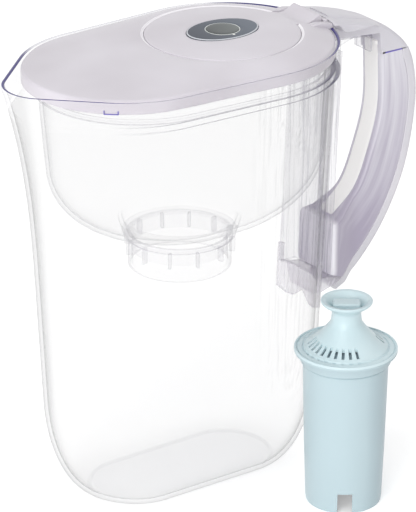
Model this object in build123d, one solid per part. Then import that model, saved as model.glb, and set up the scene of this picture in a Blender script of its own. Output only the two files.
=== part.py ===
from build123d import *
import os
from math import atan2, cos, hypot, pi, radians, sin, sqrt, tan

# Water filter pitcher. The origin is on the table under the middle of the jug's foot,
# +X points to the handle, -X to the spout and +Z up. Lengths are in millimetres.

os.makedirs("parts", exist_ok=True)

# Jug wall
RIM_Z = 272.0            # height of the rim above the table
END_X = 33.15            # how far each round end's centre lies from the middle
FOOT_END_R = 53.3        # end radius that the straight wall would have at the table
FLARE = 0.045            # growth of that radius for each millimetre of height
HEEL_DRAW = 26.0         # how far the rounded heel draws in at the table
HEEL_H = 56.5            # height of the rounded heel
WALL_T = 2.5             # thickness of wall and rim
FLOOR_T = 3.0            # thickness of the floor
HEEL_STEPS = 6           # sections through the heel

# Spout, which draws the left end out from this far below the rim
SPOUT_DROP = 138.0
SPOUT_RISES = (24.0, 46.0, 66.0, 84.0, 102.0)  # its sections, above its start
SPOUT_REACH = 118.0      # from the middle to the spout's tip, at the rim
SPOUT_POWER = 2.87       # how late the spout swells
SPOUT_TIP_R = 25.0
SPOUT_CORNER_R = 65.0
ROUND_SHARE = 0.93       # tip and corner radius of a plain end, to its end radius
VEE_PLAIN = 45.0         # angle of the flank to the middle plane, in degrees
VEE_SPOUT = 44.0
TAPER_PLAIN = 0.3        # angle of the long sides to the middle plane
TAPER_SPOUT = 2.8

# Rim band, wider than the wall under it, with the ledge that carries the reservoir
BAND_R = 68.0            # outer end radius at the handle
BAND_DROP = 18.5         # from the rim to the band's underside
LEDGE_T = 2.5            # the ledge's thickness

# Back pad under the handle
PAD_W = 37.0
PAD_PROUD = 8.75         # how far it stands out from the wall
PAD_BOTTOM_Z = 110.0
PAD_RAIL_T = 3.0
PAD_FACE_T = 2.5

# Lug under the handle's arm
LUG_W = 16.0
LUG_REACH = 30.0         # from the pad to the end plate's far face
LUG_DEPTH = 12.0         # height of the end plate
LUG_T = 2.0
GUSSET_DEPTH = 14.4
LUG_SLOPE = 0.09         # the arm's underside and the lug fall this much for each millimetre

# Handle, seen from the side: distances out from the rim's outer face, heights from the rim
HANDLE_W = 21.0
ARM_W = 39.0             # where the arm covers the rim
ARM_WIDE_OUT = 17.85
ARM_NARROW_OUT = 37.85
ARM_STEP_DROP = 5.7      # from the rim to the underside of the wide part
NOSE_H = 4.3             # the arm's nose above the rim
ARM_TOP = ((16.85, 0.2), (35.85, -6.5), (51.85, -17.0), (63.85, -30.5), (69.25, -53.0),
           (68.15, -78.5))
GRIP_TOP = ((40.85, -29.0), (41.05, -64.0))
ARM_DROP = 11.5          # from the rim to the arm's underside, at the rim band
ARM_CORNER = 39.35       # where the underside turns down into the grip
PANEL_DROP = 28.0        # side panels end this far below the rim
COVER_T = 7.2            # depth of the frosted cover on the back of the handle
LINER_T = 2.5            # depth of the pale liner inside the grip
LINER_W = 14.2           # the frame shows on both sides of it
SHELL_T = 2.3            # wall of the hollow frame and cover
SEAM = 0.1               # between the frame's curved back and the cover
THUMB_L = 24.0           # recess for the thumb on top of the arm
THUMB_W = 13.0
THUMB_OUT = 22.85        # its middle
THUMB_DROP = 4.34        # its floor
THUMB_TILT = 22.0

# Foot of the handle: distances out from the rim's outer face, heights from the pad's lower end
BAND_BACK = ((61.05, 51.7), (46.25, 21.6), (27.95, -0.9), (9.25, -15.8))
GRIP_LOW = ((34.05, 71.5), (23.85, 48.4), (7.35, 34.0))
FLARE_OUT = 20.85        # outside this distance the handle keeps its width
FOOT_RISE = 33.5
FOOT_NARROW_DROP = 17.0  # below this the foot is no wider than the handle
FOOT_WIDE_RISE = 2.0     # above it the foot is as wide as the pad
SADDLE_W = 42.0
SADDLE_RISE = 11.0
SADDLE_LOBE_DROP = 20.5  # lower edge of the two lobes
SADDLE_NOTCH_DROP = 13.6 # top of the notch between them
SADDLE_LOBE_IN = 8.0     # each lobe's lower edge runs from here
SADDLE_LOBE_OUT = 14.0
SADDLE_CORNER = 3.0      # rise of the lobes' outer corners
SADDLE_T = 3.0
GAP = 0.3                # clearance between curved faces

# Reservoir
RES_T = 2.0
RES_GAP = 0.8            # from the jug's inner wall
RES_SPOUT_X = 27.9       # the spout-side end's centre at the ledge
RES_SPOUT_LEAN = 0.07    # how that centre moves in for each millimetre down
BOWL_DROP = 64.0         # from the rim to where the straight wall ends and the bowl begins
BOWL_DEPTH = 40.0
BOWL_STEPS = 6
FLANGE_T = 2.0
FLANGE_GAP = 0.5         # from the rim band
COLLAR_H = 6.0           # upstand that carries the lid
COLLAR_STEP = 0.6
CUP_PLAY = 2.4           # the filter cup's bore is this much wider than the cartridge
CUP_SEAT_PLAY = 0.7      # and its seat than the cartridge's rim
CUP_T = 2.2
CUP_FLARE = 2.8          # from the step out to the mouth
CUP_STEP_DROP = 11.0     # from the bowl down to the step
CUP_DEPTH = 30.0         # and to the cup's lower edge
CUP_RIBS = 12
CUP_RIB_T = 1.6

# Lid
LID_GAP = 0.8            # from the rim band
LID_T = 1.8
LID_TAPER = 3.3
LID_VEE = 41.6
LID_TIP_GAP = 19.7       # from the spout's tip
LID_TIP_R = 58.0
LID_CORNER_R = 56.0
LID_EDGE_RISE = 0.5      # top of the skirt, above the rim

# Fill door in the lid
DOOR_R = 46.3
DOOR_GROOVE = 1.2
DOOR_LAND = 0.6          # flat border of the lid round the door
DOOR_EDGE_RISE = 4.5     # above the lid's skirt
DOOR_T = 1.8
DOOR_DOME = 2.4          # how far the middle stands over the edge
DOOR_SEAT = 4.0          # width of the ring that it closes on
DOOR_SEAT_T = 1.6
HINGE_INSET = 18.85      # from the lid's end
HINGE_OUT = 1.7          # from the door's edge
HINGE_DROP = 2.5         # below the door's edge
PIN_R = 1.4
PIN_PLAY = 0.05
PIN_L = 2.0              # how far each pin reaches into its cheek
TAB_W = 26.0
TAB_RISE = 5.0           # above the hinge
TAB_REACH = 14.8         # from the hinge to the tab's end
TAB_LIP = 1.8
TAB_LIP_DROP = 1.0
TAB_EDGE_DROP = 1.7      # below the hinge
TAB_DIP = (3.0, 1.1)     # hollow before the tab, from the hinge
TAB_UNDER = ((11.5, -4.5), (4.0, -3.0), (-4.0, -2.6))
TAB_ROOT = 8.0           # how far the neck reaches in under the door's edge
POCKET_GAP = 1.0         # beside the tab
POCKET_T = 2.0
POCKET_LIFT = 0.2        # over the reservoir's flange
POCKET_FRONT = 3.5       # from the hinge
POCKET_FRONT_DROP = 5.0  # from the hinge
SLOT_FRONT = 8.0         # from the hinge

# Indicator in the door
PLATE_L = 46.0
PLATE_W = 33.0
PLATE_T = 1.4
PLATE_PLAY = 0.2
PLATE_LIP = 2.2          # beyond the case
CASE_T = 1.4
CASE_COVER_T = 1.6
BOARD_T = 1.2
BOARD_SHELF = 1.6
BUTTON_R = 9.7
BUTTON_PLAY = 0.15
BUTTON_PROUD = 0.3
BUTTON_FLANGE = 0.6
BUTTON_FLANGE_T = 1.2
BUTTON_TRAVEL = 0.8
BUTTON_SPARE = 0.1       # left under the stem when the button is down
STEM_R = 2.2
STEM_L = 0.5
RING_W = 0.8
RING_T = 0.7
SWITCH_W = 6.0
SWITCH_T = 1.6
PLUNGER_R = 1.6
PLUNGER_H = 0.4
CELL_R = 10.0
CELL_T = 3.2
CELL_SPACE = 4.2         # over the cell, up to the board
CONTACT_T = 0.4
CONTACT_W = 5.0
PIPE_R = 1.1
PIPE_SPARE = 0.1         # the light-emitting diode is this much slimmer

# Filter cartridge, standing beside the jug
CART_TURN = -73.83       # direction from the jug's round end, in degrees
CART_GAP = 3.1           # between the jug's wall and the cartridge's rim
CART_TOP_R = 26.4
CART_KNEE_IN = 2.0       # the cup narrows this much down to the knee
CART_FOOT_IN = 1.8       # and this much more down to its foot
CART_KNEE_Z = 38.0
CART_T = 1.4
CART_RIM_W = 4.4
CART_RIM_Z = 97.5
CART_RIM_T = 3.2
CART_GROOVE_IN = 5.2     # from the rim's edge
CART_GROOVE_W = 0.8
CART_GROOVE_T = 1.0
CONE_RISE = 0.5          # the cone starts this far over the rim
CONE_IN = 7.8            # and steepens this far in
CONE_H = 6.3
NECK_R = 8.6
NECK_H = 6.0
NECK_RISE = 13.5
KNOB_R = 15.4
KNOB_H = 9.6
KNOB_RIM_T = 1.4
KNOB_RIM_W = 2.8
FUNNEL_DEPTH = 7.1
GRIP_BLOCK_T = 6.0
GRIP_TURN = 45.0         # the grip block's direction
NOTCH_W = 8.8
NOTCH_H = 13.0
NOTCH_TURN = 235.0       # direction in which the notch faces, in degrees
SHELF_W = 2.1            # ledge that carries the outlet screen
SLOT_COUNT = 12          # long slots on each side of the cone
SLOT_TURN = 210.0        # direction of one side's middle
SLOT_PITCH = 10.5        # degrees from one slot to the next
SLOT_W = 1.5
SLOT_IN = 3.0            # inside the steep part's edge
SLOT_OUT = 2.0           # short of the cone's foot
SLOT_RISE = 4.0          # above the steep part's foot
SCREEN_T = 1.2
MEDIA_DROP = 7.5         # from the rim to the granules' top
MEDIA_BOTTOM_Z = 16.0
CART_PLAY = 0.2

# Sizes that follow from those above
SPOUT_Z = RIM_Z - SPOUT_DROP
SPOUT_LEVELS = tuple(SPOUT_Z + rise for rise in SPOUT_RISES)
BAND_Z = RIM_Z - BAND_DROP
LEDGE_Z = BAND_Z + LEDGE_T
BAND_IN_R = BAND_R - WALL_T
RIM_IN_X = END_X + BAND_IN_R
RIM_OUT_X = END_X + BAND_R
ARM_UNDER_Z = RIM_Z - ARM_DROP
ARM_CORNER_X = RIM_OUT_X + ARM_CORNER
PANEL_TOP_Z = RIM_Z - PANEL_DROP
THUMB_X = RIM_OUT_X + THUMB_OUT
FLARE_X = RIM_OUT_X + FLARE_OUT
FOOT_TOP_Z = PAD_BOTTOM_Z + FOOT_RISE
FOOT_NARROW_Z = PAD_BOTTOM_Z - FOOT_NARROW_DROP
FOOT_WIDE_Z = PAD_BOTTOM_Z + FOOT_WIDE_RISE
SADDLE_TOP_Z = PAD_BOTTOM_Z + SADDLE_RISE
SADDLE_LOBE_Z = PAD_BOTTOM_Z - SADDLE_LOBE_DROP
SADDLE_NOTCH_Z = PAD_BOTTOM_Z - SADDLE_NOTCH_DROP
BOWL_TOP_Z = RIM_Z - BOWL_DROP
BOWL_Z = BOWL_TOP_Z - BOWL_DEPTH
FLANGE_Z = LEDGE_Z + FLANGE_T
COLLAR_Z = FLANGE_Z + COLLAR_H
COLLAR_R = BAND_IN_R - FLANGE_GAP - COLLAR_STEP
CART_RIM_R = CART_TOP_R + CART_RIM_W
CUP_BORE_R = CART_TOP_R + CUP_PLAY
CUP_SKIRT_R = CUP_BORE_R + CUP_T
CUP_SEAT_R = CART_RIM_R + CUP_SEAT_PLAY
CUP_STEP_R = CUP_SEAT_R + CUP_T
CUP_R = CUP_STEP_R + CUP_FLARE
CUP_STEP_Z = BOWL_Z - CUP_STEP_DROP
CUP_BOTTOM_Z = BOWL_Z - CUP_DEPTH
LID_R = BAND_IN_R - LID_GAP
LID_TIP_X = LID_TIP_GAP - SPOUT_REACH
LID_EDGE_Z = RIM_Z + LID_EDGE_RISE
DOOR_EDGE_Z = LID_EDGE_Z + DOOR_EDGE_RISE
DOOR_SEAT_Z = DOOR_EDGE_Z - DOOR_T
DOOR_TOP_Z = DOOR_EDGE_Z + DOOR_DOME
HINGE_X = END_X + LID_R - HINGE_INSET
HINGE_Z = DOOR_EDGE_Z - HINGE_DROP
DOOR_X = HINGE_X - HINGE_OUT - DOOR_R
TAB_TOP_Z = HINGE_Z + TAB_RISE
TAB_BACK_X = HINGE_X + TAB_REACH
POCKET_FLOOR_Z = FLANGE_Z + POCKET_LIFT + LID_T
POCKET_FRONT_X = HINGE_X - POCKET_FRONT
POCKET_FRONT_TOP_Z = HINGE_Z - POCKET_FRONT_DROP
SLOT_FRONT_X = HINGE_X - SLOT_FRONT
PLATE_Z = DOOR_TOP_Z - PLATE_T
PIPE_Z = PLATE_Z - PLATE_PLAY
CASE_L = PLATE_L - 2 * PLATE_LIP
CASE_W = PLATE_W - 2 * PLATE_LIP
RING_R = BUTTON_R + RING_W
LIGHT_R = PIPE_R - PIPE_SPARE
LIGHT_OUT = RING_R + PIPE_R
STEM_Z = PLATE_Z - PLATE_PLAY - BUTTON_FLANGE_T - STEM_L
BOARD_Z = STEM_Z - BUTTON_SPARE - BUTTON_TRAVEL - PLUNGER_H - SWITCH_T - BOARD_T
CASE_BOTTOM_Z = BOARD_Z - CELL_SPACE - CELL_T
CART_KNEE_R = CART_TOP_R - CART_KNEE_IN
CART_FOOT_R = CART_KNEE_R - CART_FOOT_IN
CART_GROOVE_R = CART_RIM_R - CART_GROOVE_IN
CONE_FOOT_R = CART_GROOVE_R - CART_GROOVE_W
CONE_MID_R = CONE_FOOT_R - CONE_IN
CONE_FOOT_Z = CART_RIM_Z + CART_RIM_T + CONE_RISE
CONE_MID_Z = CONE_FOOT_Z + CONE_H
NECK_Z = CONE_MID_Z + NECK_RISE
KNOB_Z = NECK_Z + KNOB_H
FUNNEL_R = KNOB_R - KNOB_RIM_W
FUNNEL_Z = KNOB_Z - FUNNEL_DEPTH
MEDIA_TOP_Z = CART_RIM_Z - MEDIA_DROP
CART_OUT = FOOT_END_R + FLARE * (CART_RIM_Z + CART_RIM_T) + CART_GAP + CART_RIM_R
CART_X = END_X + CART_OUT * cos(radians(CART_TURN))
CART_Y = CART_OUT * sin(radians(CART_TURN))


def end_radius(z):
    """Outer end radius of the straight wall, without heel."""
    return FOOT_END_R + FLARE * z


def pad_face_x(z):
    """Distance of the back pad's face from the middle."""
    return END_X + end_radius(z) + PAD_PROUD


def spout_share(z):
    """0 below the spout, 1 at the rim."""
    return max(0.0, (z - SPOUT_Z) / (RIM_Z - SPOUT_Z)) ** SPOUT_POWER


def side_taper(z):
    """Angle of the jug's long sides to the middle plane."""
    return TAPER_PLAIN + (TAPER_SPOUT - TAPER_PLAIN) * spout_share(z)


def polar(centre_x, radius, degrees_from_x):
    turn = radians(degrees_from_x)
    return Vector(centre_x + radius * cos(turn), radius * sin(turn), 0)


def mirrored_wire(upper, z):
    """Closed outline at height z from the edges of its half above the X axis.

    Each edge is a list of 2 points for a line or 3 for an arc."""
    lower = [[Vector(p.X, -p.Y, 0) for p in reversed(points)] for points in reversed(upper)]
    edges = []
    for points in upper + lower:
        raised = [p + Vector(0, 0, z) for p in points]
        if len(raised) == 2:
            edges.append(Edge.make_line(*raised))
        else:
            edges.append(Edge.make_three_point_arc(*raised))
    return Wire(edges)


def spout_outline(z, end_x, end_r, taper, vee, tip_x, tip_r, corner_r):
    """Round end at end_x, sides that taper in, rounded corners, straight flanks, round tip."""
    side = Vector(end_x - end_r * sin(radians(taper)), end_r * cos(radians(taper)), 0)
    along = Vector(cos(radians(taper)), sin(radians(taper)), 0)
    tip_centre = tip_x + tip_r
    flank = polar(tip_centre, tip_r, 90 + vee)
    up_flank = Vector(cos(radians(vee)), sin(radians(vee)), 0)
    between = flank - side
    cross = along.X * up_flank.Y - along.Y * up_flank.X
    reach = (between.X * up_flank.Y - between.Y * up_flank.X) / cross
    corner = side + along * reach
    cut = corner_r * tan(radians(vee - taper) / 2)
    corner_a = corner + along * cut
    corner_b = corner - up_flank * cut
    centre = corner_a + Vector(along.Y, -along.X, 0) * corner_r
    middle = radians(90 + (taper + vee) / 2)
    corner_mid = centre + Vector(cos(middle), sin(middle), 0) * corner_r
    upper = [
        [polar(end_x, end_r, 0), polar(end_x, end_r, 45), side],
        [side, corner_a],
        [corner_a, corner_mid, corner_b],
        [corner_b, flank],
        [flank, polar(tip_centre, tip_r, 135 + vee / 2), polar(tip_centre, tip_r, 180)],
    ]
    return mirrored_wire(upper, z)


def jug_outline(z, inset=0.0, drawn_in=0.0, end_r=None):
    """The jug's outline at height z, inset by a wall, and drawn in at the heel."""
    share = spout_share(z)
    wall_r = end_radius(z) - inset - drawn_in
    tip_x = -(END_X + wall_r) * (1 - share) - (SPOUT_REACH - inset) * share
    tip_r = ROUND_SHARE * wall_r * (1 - share) + (SPOUT_TIP_R - inset) * share
    corner_r = ROUND_SHARE * wall_r * (1 - share) + (SPOUT_CORNER_R - inset) * share
    vee = VEE_PLAIN + (VEE_SPOUT - VEE_PLAIN) * share
    return spout_outline(z, END_X, end_r or wall_r, side_taper(z), vee, tip_x, tip_r, corner_r)


def two_round_outline(z, right_x, right_r, left_x, left_r):
    """Two round ends of their own radii, joined by the straight sides that touch both."""
    lean = (right_r - left_r) / (right_x - left_x)
    turn = 90 + atan2(lean, sqrt(1 - lean * lean)) * 180 / pi
    upper = [
        [polar(right_x, right_r, 0), polar(right_x, right_r, turn / 2), polar(right_x, right_r, turn)],
        [polar(right_x, right_r, turn), polar(left_x, left_r, turn)],
        [polar(left_x, left_r, turn), polar(left_x, left_r, turn / 2 + 90), polar(left_x, left_r, 180)],
    ]
    return mirrored_wire(upper, z)


def prism(wire_at, low, high):
    """Straight solid from the outline that wire_at gives at the height low."""
    return extrude(Face(wire_at), high - low, dir=(0, 0, 1))


def side_plate(points, half_width):
    """Polygon of (distance, height) points, as wide as given on both sides of the middle."""
    return extrude(Plane.XZ * make_face(Polyline(*points, close=True)), half_width, both=True)


def turned(points, x=0.0, y=0.0):
    """Solid of revolution about a vertical axis, from (radius, height) points."""
    profile = make_face(Polyline(*points, close=True))
    return Pos(x, y, 0) * revolve(Plane.XZ * profile, Axis.Z)


def disc(x, y, radius, low, high):
    return Pos(x, y, (low + high) / 2) * Cylinder(radius, high - low)


def oval(length, width, low, high):
    return Pos(DOOR_X, 0, low) * extrude(Ellipse(length / 2, width / 2), high - low)


def box(x0, x1, y0, y1, z0, z1):
    return Pos((x0 + x1) / 2, (y0 + y1) / 2, (z0 + z1) / 2) * Box(x1 - x0, y1 - y0, z1 - z0)


def cross_rod(x, z, radius, y0, y1):
    return Pos(x, (y0 + y1) / 2, z) * Rot(90, 0, 0) * Cylinder(radius, y1 - y0)


# Jug

def heel_levels(bottom, draw):
    """Heights and draw-in of the heel's sections, evenly spaced round a quarter ellipse."""
    levels = []
    for step in range(HEEL_STEPS + 1):
        turn = pi / 2 * step / HEEL_STEPS
        levels.append((bottom + (HEEL_H - bottom) * (1 - cos(turn)), draw * (1 - sin(turn))))
    return levels


def jug_core(bottom, top, inset, draw):
    """Solid of the jug's outer or inner form: rounded heel, straight wall, spout."""
    heel = Solid.make_loft([jug_outline(z, inset, drawn) for z, drawn in heel_levels(bottom, draw)])
    wall = Solid.make_loft([jug_outline(z, inset) for z in (HEEL_H, SPOUT_Z)], ruled=True)
    spout = Solid.make_loft([jug_outline(z, inset) for z in (SPOUT_Z,) + SPOUT_LEVELS + (top,)])
    return heel + wall + spout


def rim_band(low, high, inset, end_r):
    middle = (low + high) / 2
    return Solid.make_loft([jug_outline(z, inset, 0.0, end_r) for z in (low, middle, high)])


def back_pad():
    """Two rails and a face plate that stand off the wall under the handle."""
    deep = END_X + FOOT_END_R / 2
    bottom, top = PAD_BOTTOM_Z, BAND_Z + LEDGE_T / 2
    block = [(deep, bottom), (pad_face_x(bottom), bottom), (pad_face_x(top), top), (deep, top)]
    face = PAD_FACE_T
    hollow_top = BAND_Z
    hollow = [(deep, bottom - 1), (pad_face_x(bottom - 1) - face, bottom - 1),
              (pad_face_x(hollow_top) - face, hollow_top), (deep, hollow_top)]
    return side_plate(block, PAD_W / 2) - side_plate(hollow, PAD_W / 2 - PAD_RAIL_T)


def arm_underside(x):
    """Height of the arm's underside, which falls away from the rim."""
    return ARM_UNDER_Z - LUG_SLOPE * (x - RIM_OUT_X)


def arm_lug():
    """Thin ledge with two ribs and an end plate, on which the handle's arm lies."""
    root = pad_face_x(BAND_Z) - PAD_FACE_T
    face = pad_face_x(BAND_Z)
    end = face + LUG_REACH
    top = [(root, arm_underside(root)), (end, arm_underside(end)),
           (end, arm_underside(end) - LUG_T), (root, arm_underside(root) - LUG_T)]
    plate = side_plate(top, LUG_W / 2)
    end_plate = side_plate([(end - LUG_T, arm_underside(end)), (end, arm_underside(end)),
                            (end, arm_underside(end) - LUG_DEPTH),
                            (end - LUG_T, arm_underside(end) - LUG_DEPTH)], LUG_W / 2)
    gusset = side_plate([(root, arm_underside(root) - LUG_T / 2),
                         (end - LUG_T / 2, arm_underside(end) - LUG_T / 2),
                         (root, arm_underside(root) - GUSSET_DEPTH)], LUG_T / 2)
    in_band = RIM_OUT_X - WALL_T / 2
    root_block = side_plate([(in_band, arm_underside(in_band)), (face, arm_underside(face)),
                             (face, BAND_Z), (in_band, BAND_Z)], LUG_W / 2)
    return plate + end_plate + gusset + root_block


def make_jug():
    outer = jug_core(0.0, BAND_Z, 0.0, HEEL_DRAW) + rim_band(BAND_Z, RIM_Z, 0.0, BAND_R)
    outer += back_pad()
    inner = jug_core(FLOOR_T, LEDGE_Z, WALL_T, HEEL_DRAW - WALL_T)
    band_hollow = rim_band(LEDGE_Z, RIM_Z, WALL_T, BAND_IN_R)
    above = prism(jug_outline(RIM_Z, WALL_T, 0.0, BAND_IN_R), RIM_Z, RIM_Z + WALL_T)
    return outer + arm_lug() - inner - band_hollow - above


# Handle

def shifted(points, distance):
    """Points moved square to the line through their neighbours, to its right-hand side."""
    moved = []
    for i, (x, z) in enumerate(points):
        x0, z0 = points[max(i - 1, 0)]
        x1, z1 = points[min(i + 1, len(points) - 1)]
        length = hypot(x1 - x0, z1 - z0)
        moved.append((x + (z1 - z0) / length * distance, z - (x1 - x0) / length * distance))
    return moved


def placed(points, base_z):
    """Points given from the rim's outer face and from a height, in the row's frame."""
    return tuple((RIM_OUT_X + x, base_z + z) for x, z in points)


def back_points():
    return (((RIM_IN_X, RIM_Z + NOSE_H),) + placed(ARM_TOP, RIM_Z)
            + placed(BAND_BACK, PAD_BOTTOM_Z))


def grip_points():
    return placed(GRIP_TOP, RIM_Z) + placed(GRIP_LOW, PAD_BOTTOM_Z)


def handle_profile():
    """Side view of the whole handle, without the saddle's wings."""
    foot = [(pad_face_x(SADDLE_NOTCH_Z) - PAD_PROUD + GAP, SADDLE_NOTCH_Z),
            (pad_face_x(PAD_BOTTOM_Z) - PAD_PROUD + GAP, PAD_BOTTOM_Z - GAP),
            (pad_face_x(PAD_BOTTOM_Z), PAD_BOTTOM_Z - GAP),
            (pad_face_x(FOOT_TOP_Z), FOOT_TOP_Z)]
    corner = (ARM_CORNER_X, arm_underside(ARM_CORNER_X))
    root = RIM_OUT_X + GAP
    arm = [(root, arm_underside(root)), (root, RIM_Z), (RIM_IN_X, RIM_Z)]
    back = Spline(*back_points())
    front = grip_points()
    grip = Spline(*reversed(front))
    foot_line = Polyline(back_points()[-1], *foot, front[-1])
    arm_line = Polyline(front[0], corner, *arm, back_points()[0])
    return make_face([*back.edges(), *foot_line.edges(), *grip.edges(), *arm_line.edges()])


def zone(x0, x1, z0, z1):
    return make_face(Polyline((x0, z0), (x1, z0), (x1, z1), (x0, z1), close=True))


def cover_region(profile, depth):
    """The arm and a band of the given depth down the back of the handle."""
    arm = profile & zone(0, 2 * RIM_OUT_X, PANEL_TOP_Z, 2 * RIM_Z)
    return arm + (profile & back_band(back_points(), depth))


def back_band(back, depth):
    """Band of the given depth inside the back curve."""
    inside = shifted(back, depth)
    outer_edge = Spline(*back)
    inner_edge = Spline(*reversed(inside))
    ends = [Line(back[-1], inside[-1]), Line(inside[0], back[0])]
    return make_face([*outer_edge.edges(), *ends[0].edges(), *inner_edge.edges(), *ends[1].edges()])


def grip_strip(depth):
    """Strip of the given depth behind the grip's front curve."""
    front = grip_points()
    inside = shifted(front, -depth)
    near = Spline(*front)
    far = Spline(*reversed(inside))
    ends = [Line(front[-1], inside[-1]), Line(inside[0], front[0])]
    return make_face([*near.edges(), *ends[0].edges(), *far.edges(), *ends[1].edges()])


def as_wide_as(region, half_width):
    return extrude(Plane.XZ * region, half_width, both=True)


def plan_form(inset):
    """Seen from above, the handle's foot widens to the pad, and its arm widens over the rim."""
    half, pad_half = HANDLE_W / 2 - inset, PAD_W / 2 - inset
    far = 2 * RIM_OUT_X
    near = END_X
    pad_x = pad_face_x(FOOT_TOP_Z)
    points = [(near, -pad_half), (pad_x, -pad_half), (FLARE_X, -half), (far, -half),
              (far, half), (FLARE_X, half), (pad_x, pad_half), (near, pad_half)]
    above = FOOT_TOP_Z + COVER_T
    wide = extrude(make_face(Polyline(*points, close=True)), above)
    front = [(-half, 0), (half, 0), (half, FOOT_NARROW_Z), (pad_half, FOOT_WIDE_Z),
             (pad_half, above), (-pad_half, above), (-pad_half, FOOT_WIDE_Z), (-half, FOOT_NARROW_Z)]
    wide &= extrude(Plane.YZ * make_face(Polyline(*front, close=True)), far)
    narrow = box(near, far, -half, half, above, 2 * RIM_Z)
    arm_half = ARM_W / 2 - inset
    wide_x, narrow_x = RIM_OUT_X + ARM_WIDE_OUT, RIM_OUT_X + ARM_NARROW_OUT
    over_rim = [(near, -arm_half), (wide_x, -arm_half), (narrow_x, -half),
                (narrow_x, half), (wide_x, arm_half), (near, arm_half)]
    step_z = RIM_Z - ARM_STEP_DROP
    arm = extrude(Pos(0, 0, step_z) * make_face(Polyline(*over_rim, close=True)), RIM_Z)
    return wide + narrow + arm


def saddle():
    """Curved plate round the jug's wall, with two lobes below and a hole for the pad."""
    bottom, top = SADDLE_LOBE_Z, SADDLE_TOP_Z
    inner_low, inner_high = end_radius(bottom) + GAP, end_radius(top) + GAP
    ring = turned([(inner_low, bottom), (inner_low + SADDLE_T, bottom),
                   (inner_high + SADDLE_T, top), (inner_high, top)], END_X)
    edge = SADDLE_W / 2
    half = [(edge, top), (edge, bottom + SADDLE_CORNER), (SADDLE_LOBE_OUT, bottom),
            (SADDLE_LOBE_IN, bottom), (0, SADDLE_NOTCH_Z)]
    front = half + [(-y, z) for y, z in reversed(half[:-1])]
    window = extrude(Plane.YZ * make_face(Polyline(*front, close=True)), RIM_OUT_X)
    pad_hole = box(END_X, 2 * END_X + BAND_R, -PAD_W / 2 - GAP, PAD_W / 2 + GAP,
                   PAD_BOTTOM_Z - GAP, RIM_Z)
    return ring & window - pad_hole


def make_handle():
    """The frame with its saddle, the cover with the arm, and the liner of the grip."""
    profile = handle_profile()
    cover_face = cover_region(profile, COVER_T)
    beside_cover = profile - cover_region(profile, COVER_T + SEAM)
    liner_face = beside_cover & grip_strip(LINER_T)
    frame_face = beside_cover - liner_face
    liner = as_wide_as(liner_face, LINER_W / 2) & plan_form(0.0)
    frame = (as_wide_as(beside_cover, PAD_W / 2) & plan_form(0.0)) - liner
    hollow_face = frame_face - grip_strip(LINER_T + SHELL_T)
    hollow_face -= zone(0, pad_face_x(FOOT_TOP_Z) + SHELL_T, 0, RIM_Z)
    hollow = as_wide_as(hollow_face, PAD_W / 2) & plan_form(SHELL_T)
    frame = frame - hollow + saddle()
    cover = as_wide_as(cover_face, ARM_W / 2) & plan_form(0.0)
    cover -= thumb_recess()
    return frame, cover, liner


def thumb_recess():
    """Shallow trough with round ends across the top of the arm."""
    trough = SlotOverall(THUMB_L, THUMB_W)
    return Pos(THUMB_X, 0, RIM_Z - THUMB_DROP) * Rot(0, THUMB_TILT, 0) * extrude(trough, THUMB_L)


# Reservoir

def reservoir_outline(z, inset=0.0):
    """The straight wall, parallel to the jug's own wall."""
    right_r = end_radius(z) - WALL_T - RES_GAP - inset
    left_x = -RES_SPOUT_X + RES_SPOUT_LEAN * (LEDGE_Z - z)
    left_r = right_r - (END_X - left_x) * sin(radians(side_taper(z))) - GAP
    return right_r, left_x, left_r


def reservoir_wire(z, inset=0.0):
    right_r, left_x, left_r = reservoir_outline(z, inset)
    return two_round_outline(z, END_X, right_r, left_x, left_r)


def bowl_wire(z, floor_z, inset):
    """Section of the bowl, which shrinks from the wall's outline to the filter cup's mouth."""
    fall = (BOWL_TOP_Z - z) / (BOWL_TOP_Z - floor_z)
    share = sqrt(max(0.0, 1 - fall * fall))
    right_r, left_x, left_r = reservoir_outline(BOWL_TOP_Z, inset)
    mouth = CUP_R + RES_T / 2 - inset
    half = 1.0
    return two_round_outline(z, half + (END_X - half) * share, mouth + (right_r - mouth) * share,
                             -half + (left_x + half) * share, mouth + (left_r - mouth) * share)


def reservoir_core(floor_z, top, inset):
    wires = []
    for step in range(BOWL_STEPS + 1):
        turn = pi / 2 * step / BOWL_STEPS
        z = BOWL_TOP_Z - (BOWL_TOP_Z - floor_z) * cos(turn)
        wires.append(bowl_wire(z, floor_z, inset))
    middle = (BOWL_TOP_Z + top) / 2
    wall = [reservoir_wire(z, inset) for z in (BOWL_TOP_Z, middle, top)]
    return Solid.make_loft(wires) + Solid.make_loft(wall, ruled=True)


def flange_ring(low, high, outer_r, inner_r):
    """Ring parallel to the rim band, from the handle round to the reservoir's spout-side end."""
    rings = []
    for radius in (outer_r, inner_r):
        lean = (END_X + RES_SPOUT_X) * sin(radians(side_taper(high))) + GAP
        wire = two_round_outline(low, END_X, radius, -RES_SPOUT_X, radius - lean)
        rings.append(prism(wire, low, high))
    return rings[0] - rings[1]


def filter_cup():
    """Tapering cup with a step for the cartridge's rim, and an open skirt below it."""
    floor = BOWL_Z + RES_T
    seat = CUP_STEP_Z + RES_T
    outer = turned([(0, CUP_BOTTOM_Z), (CUP_SKIRT_R, CUP_BOTTOM_Z), (CUP_SKIRT_R, CUP_STEP_Z),
                    (CUP_STEP_R, CUP_STEP_Z), (CUP_R, BOWL_Z), (CUP_R, floor), (0, floor)])
    bore = turned([(0, CUP_BOTTOM_Z - 1), (CUP_BORE_R, CUP_BOTTOM_Z - 1), (CUP_BORE_R, seat),
                   (CUP_SEAT_R, seat), (CUP_R - RES_T, floor), (CUP_R - RES_T, floor + 1),
                   (0, floor + 1)])
    return outer, bore


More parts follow.
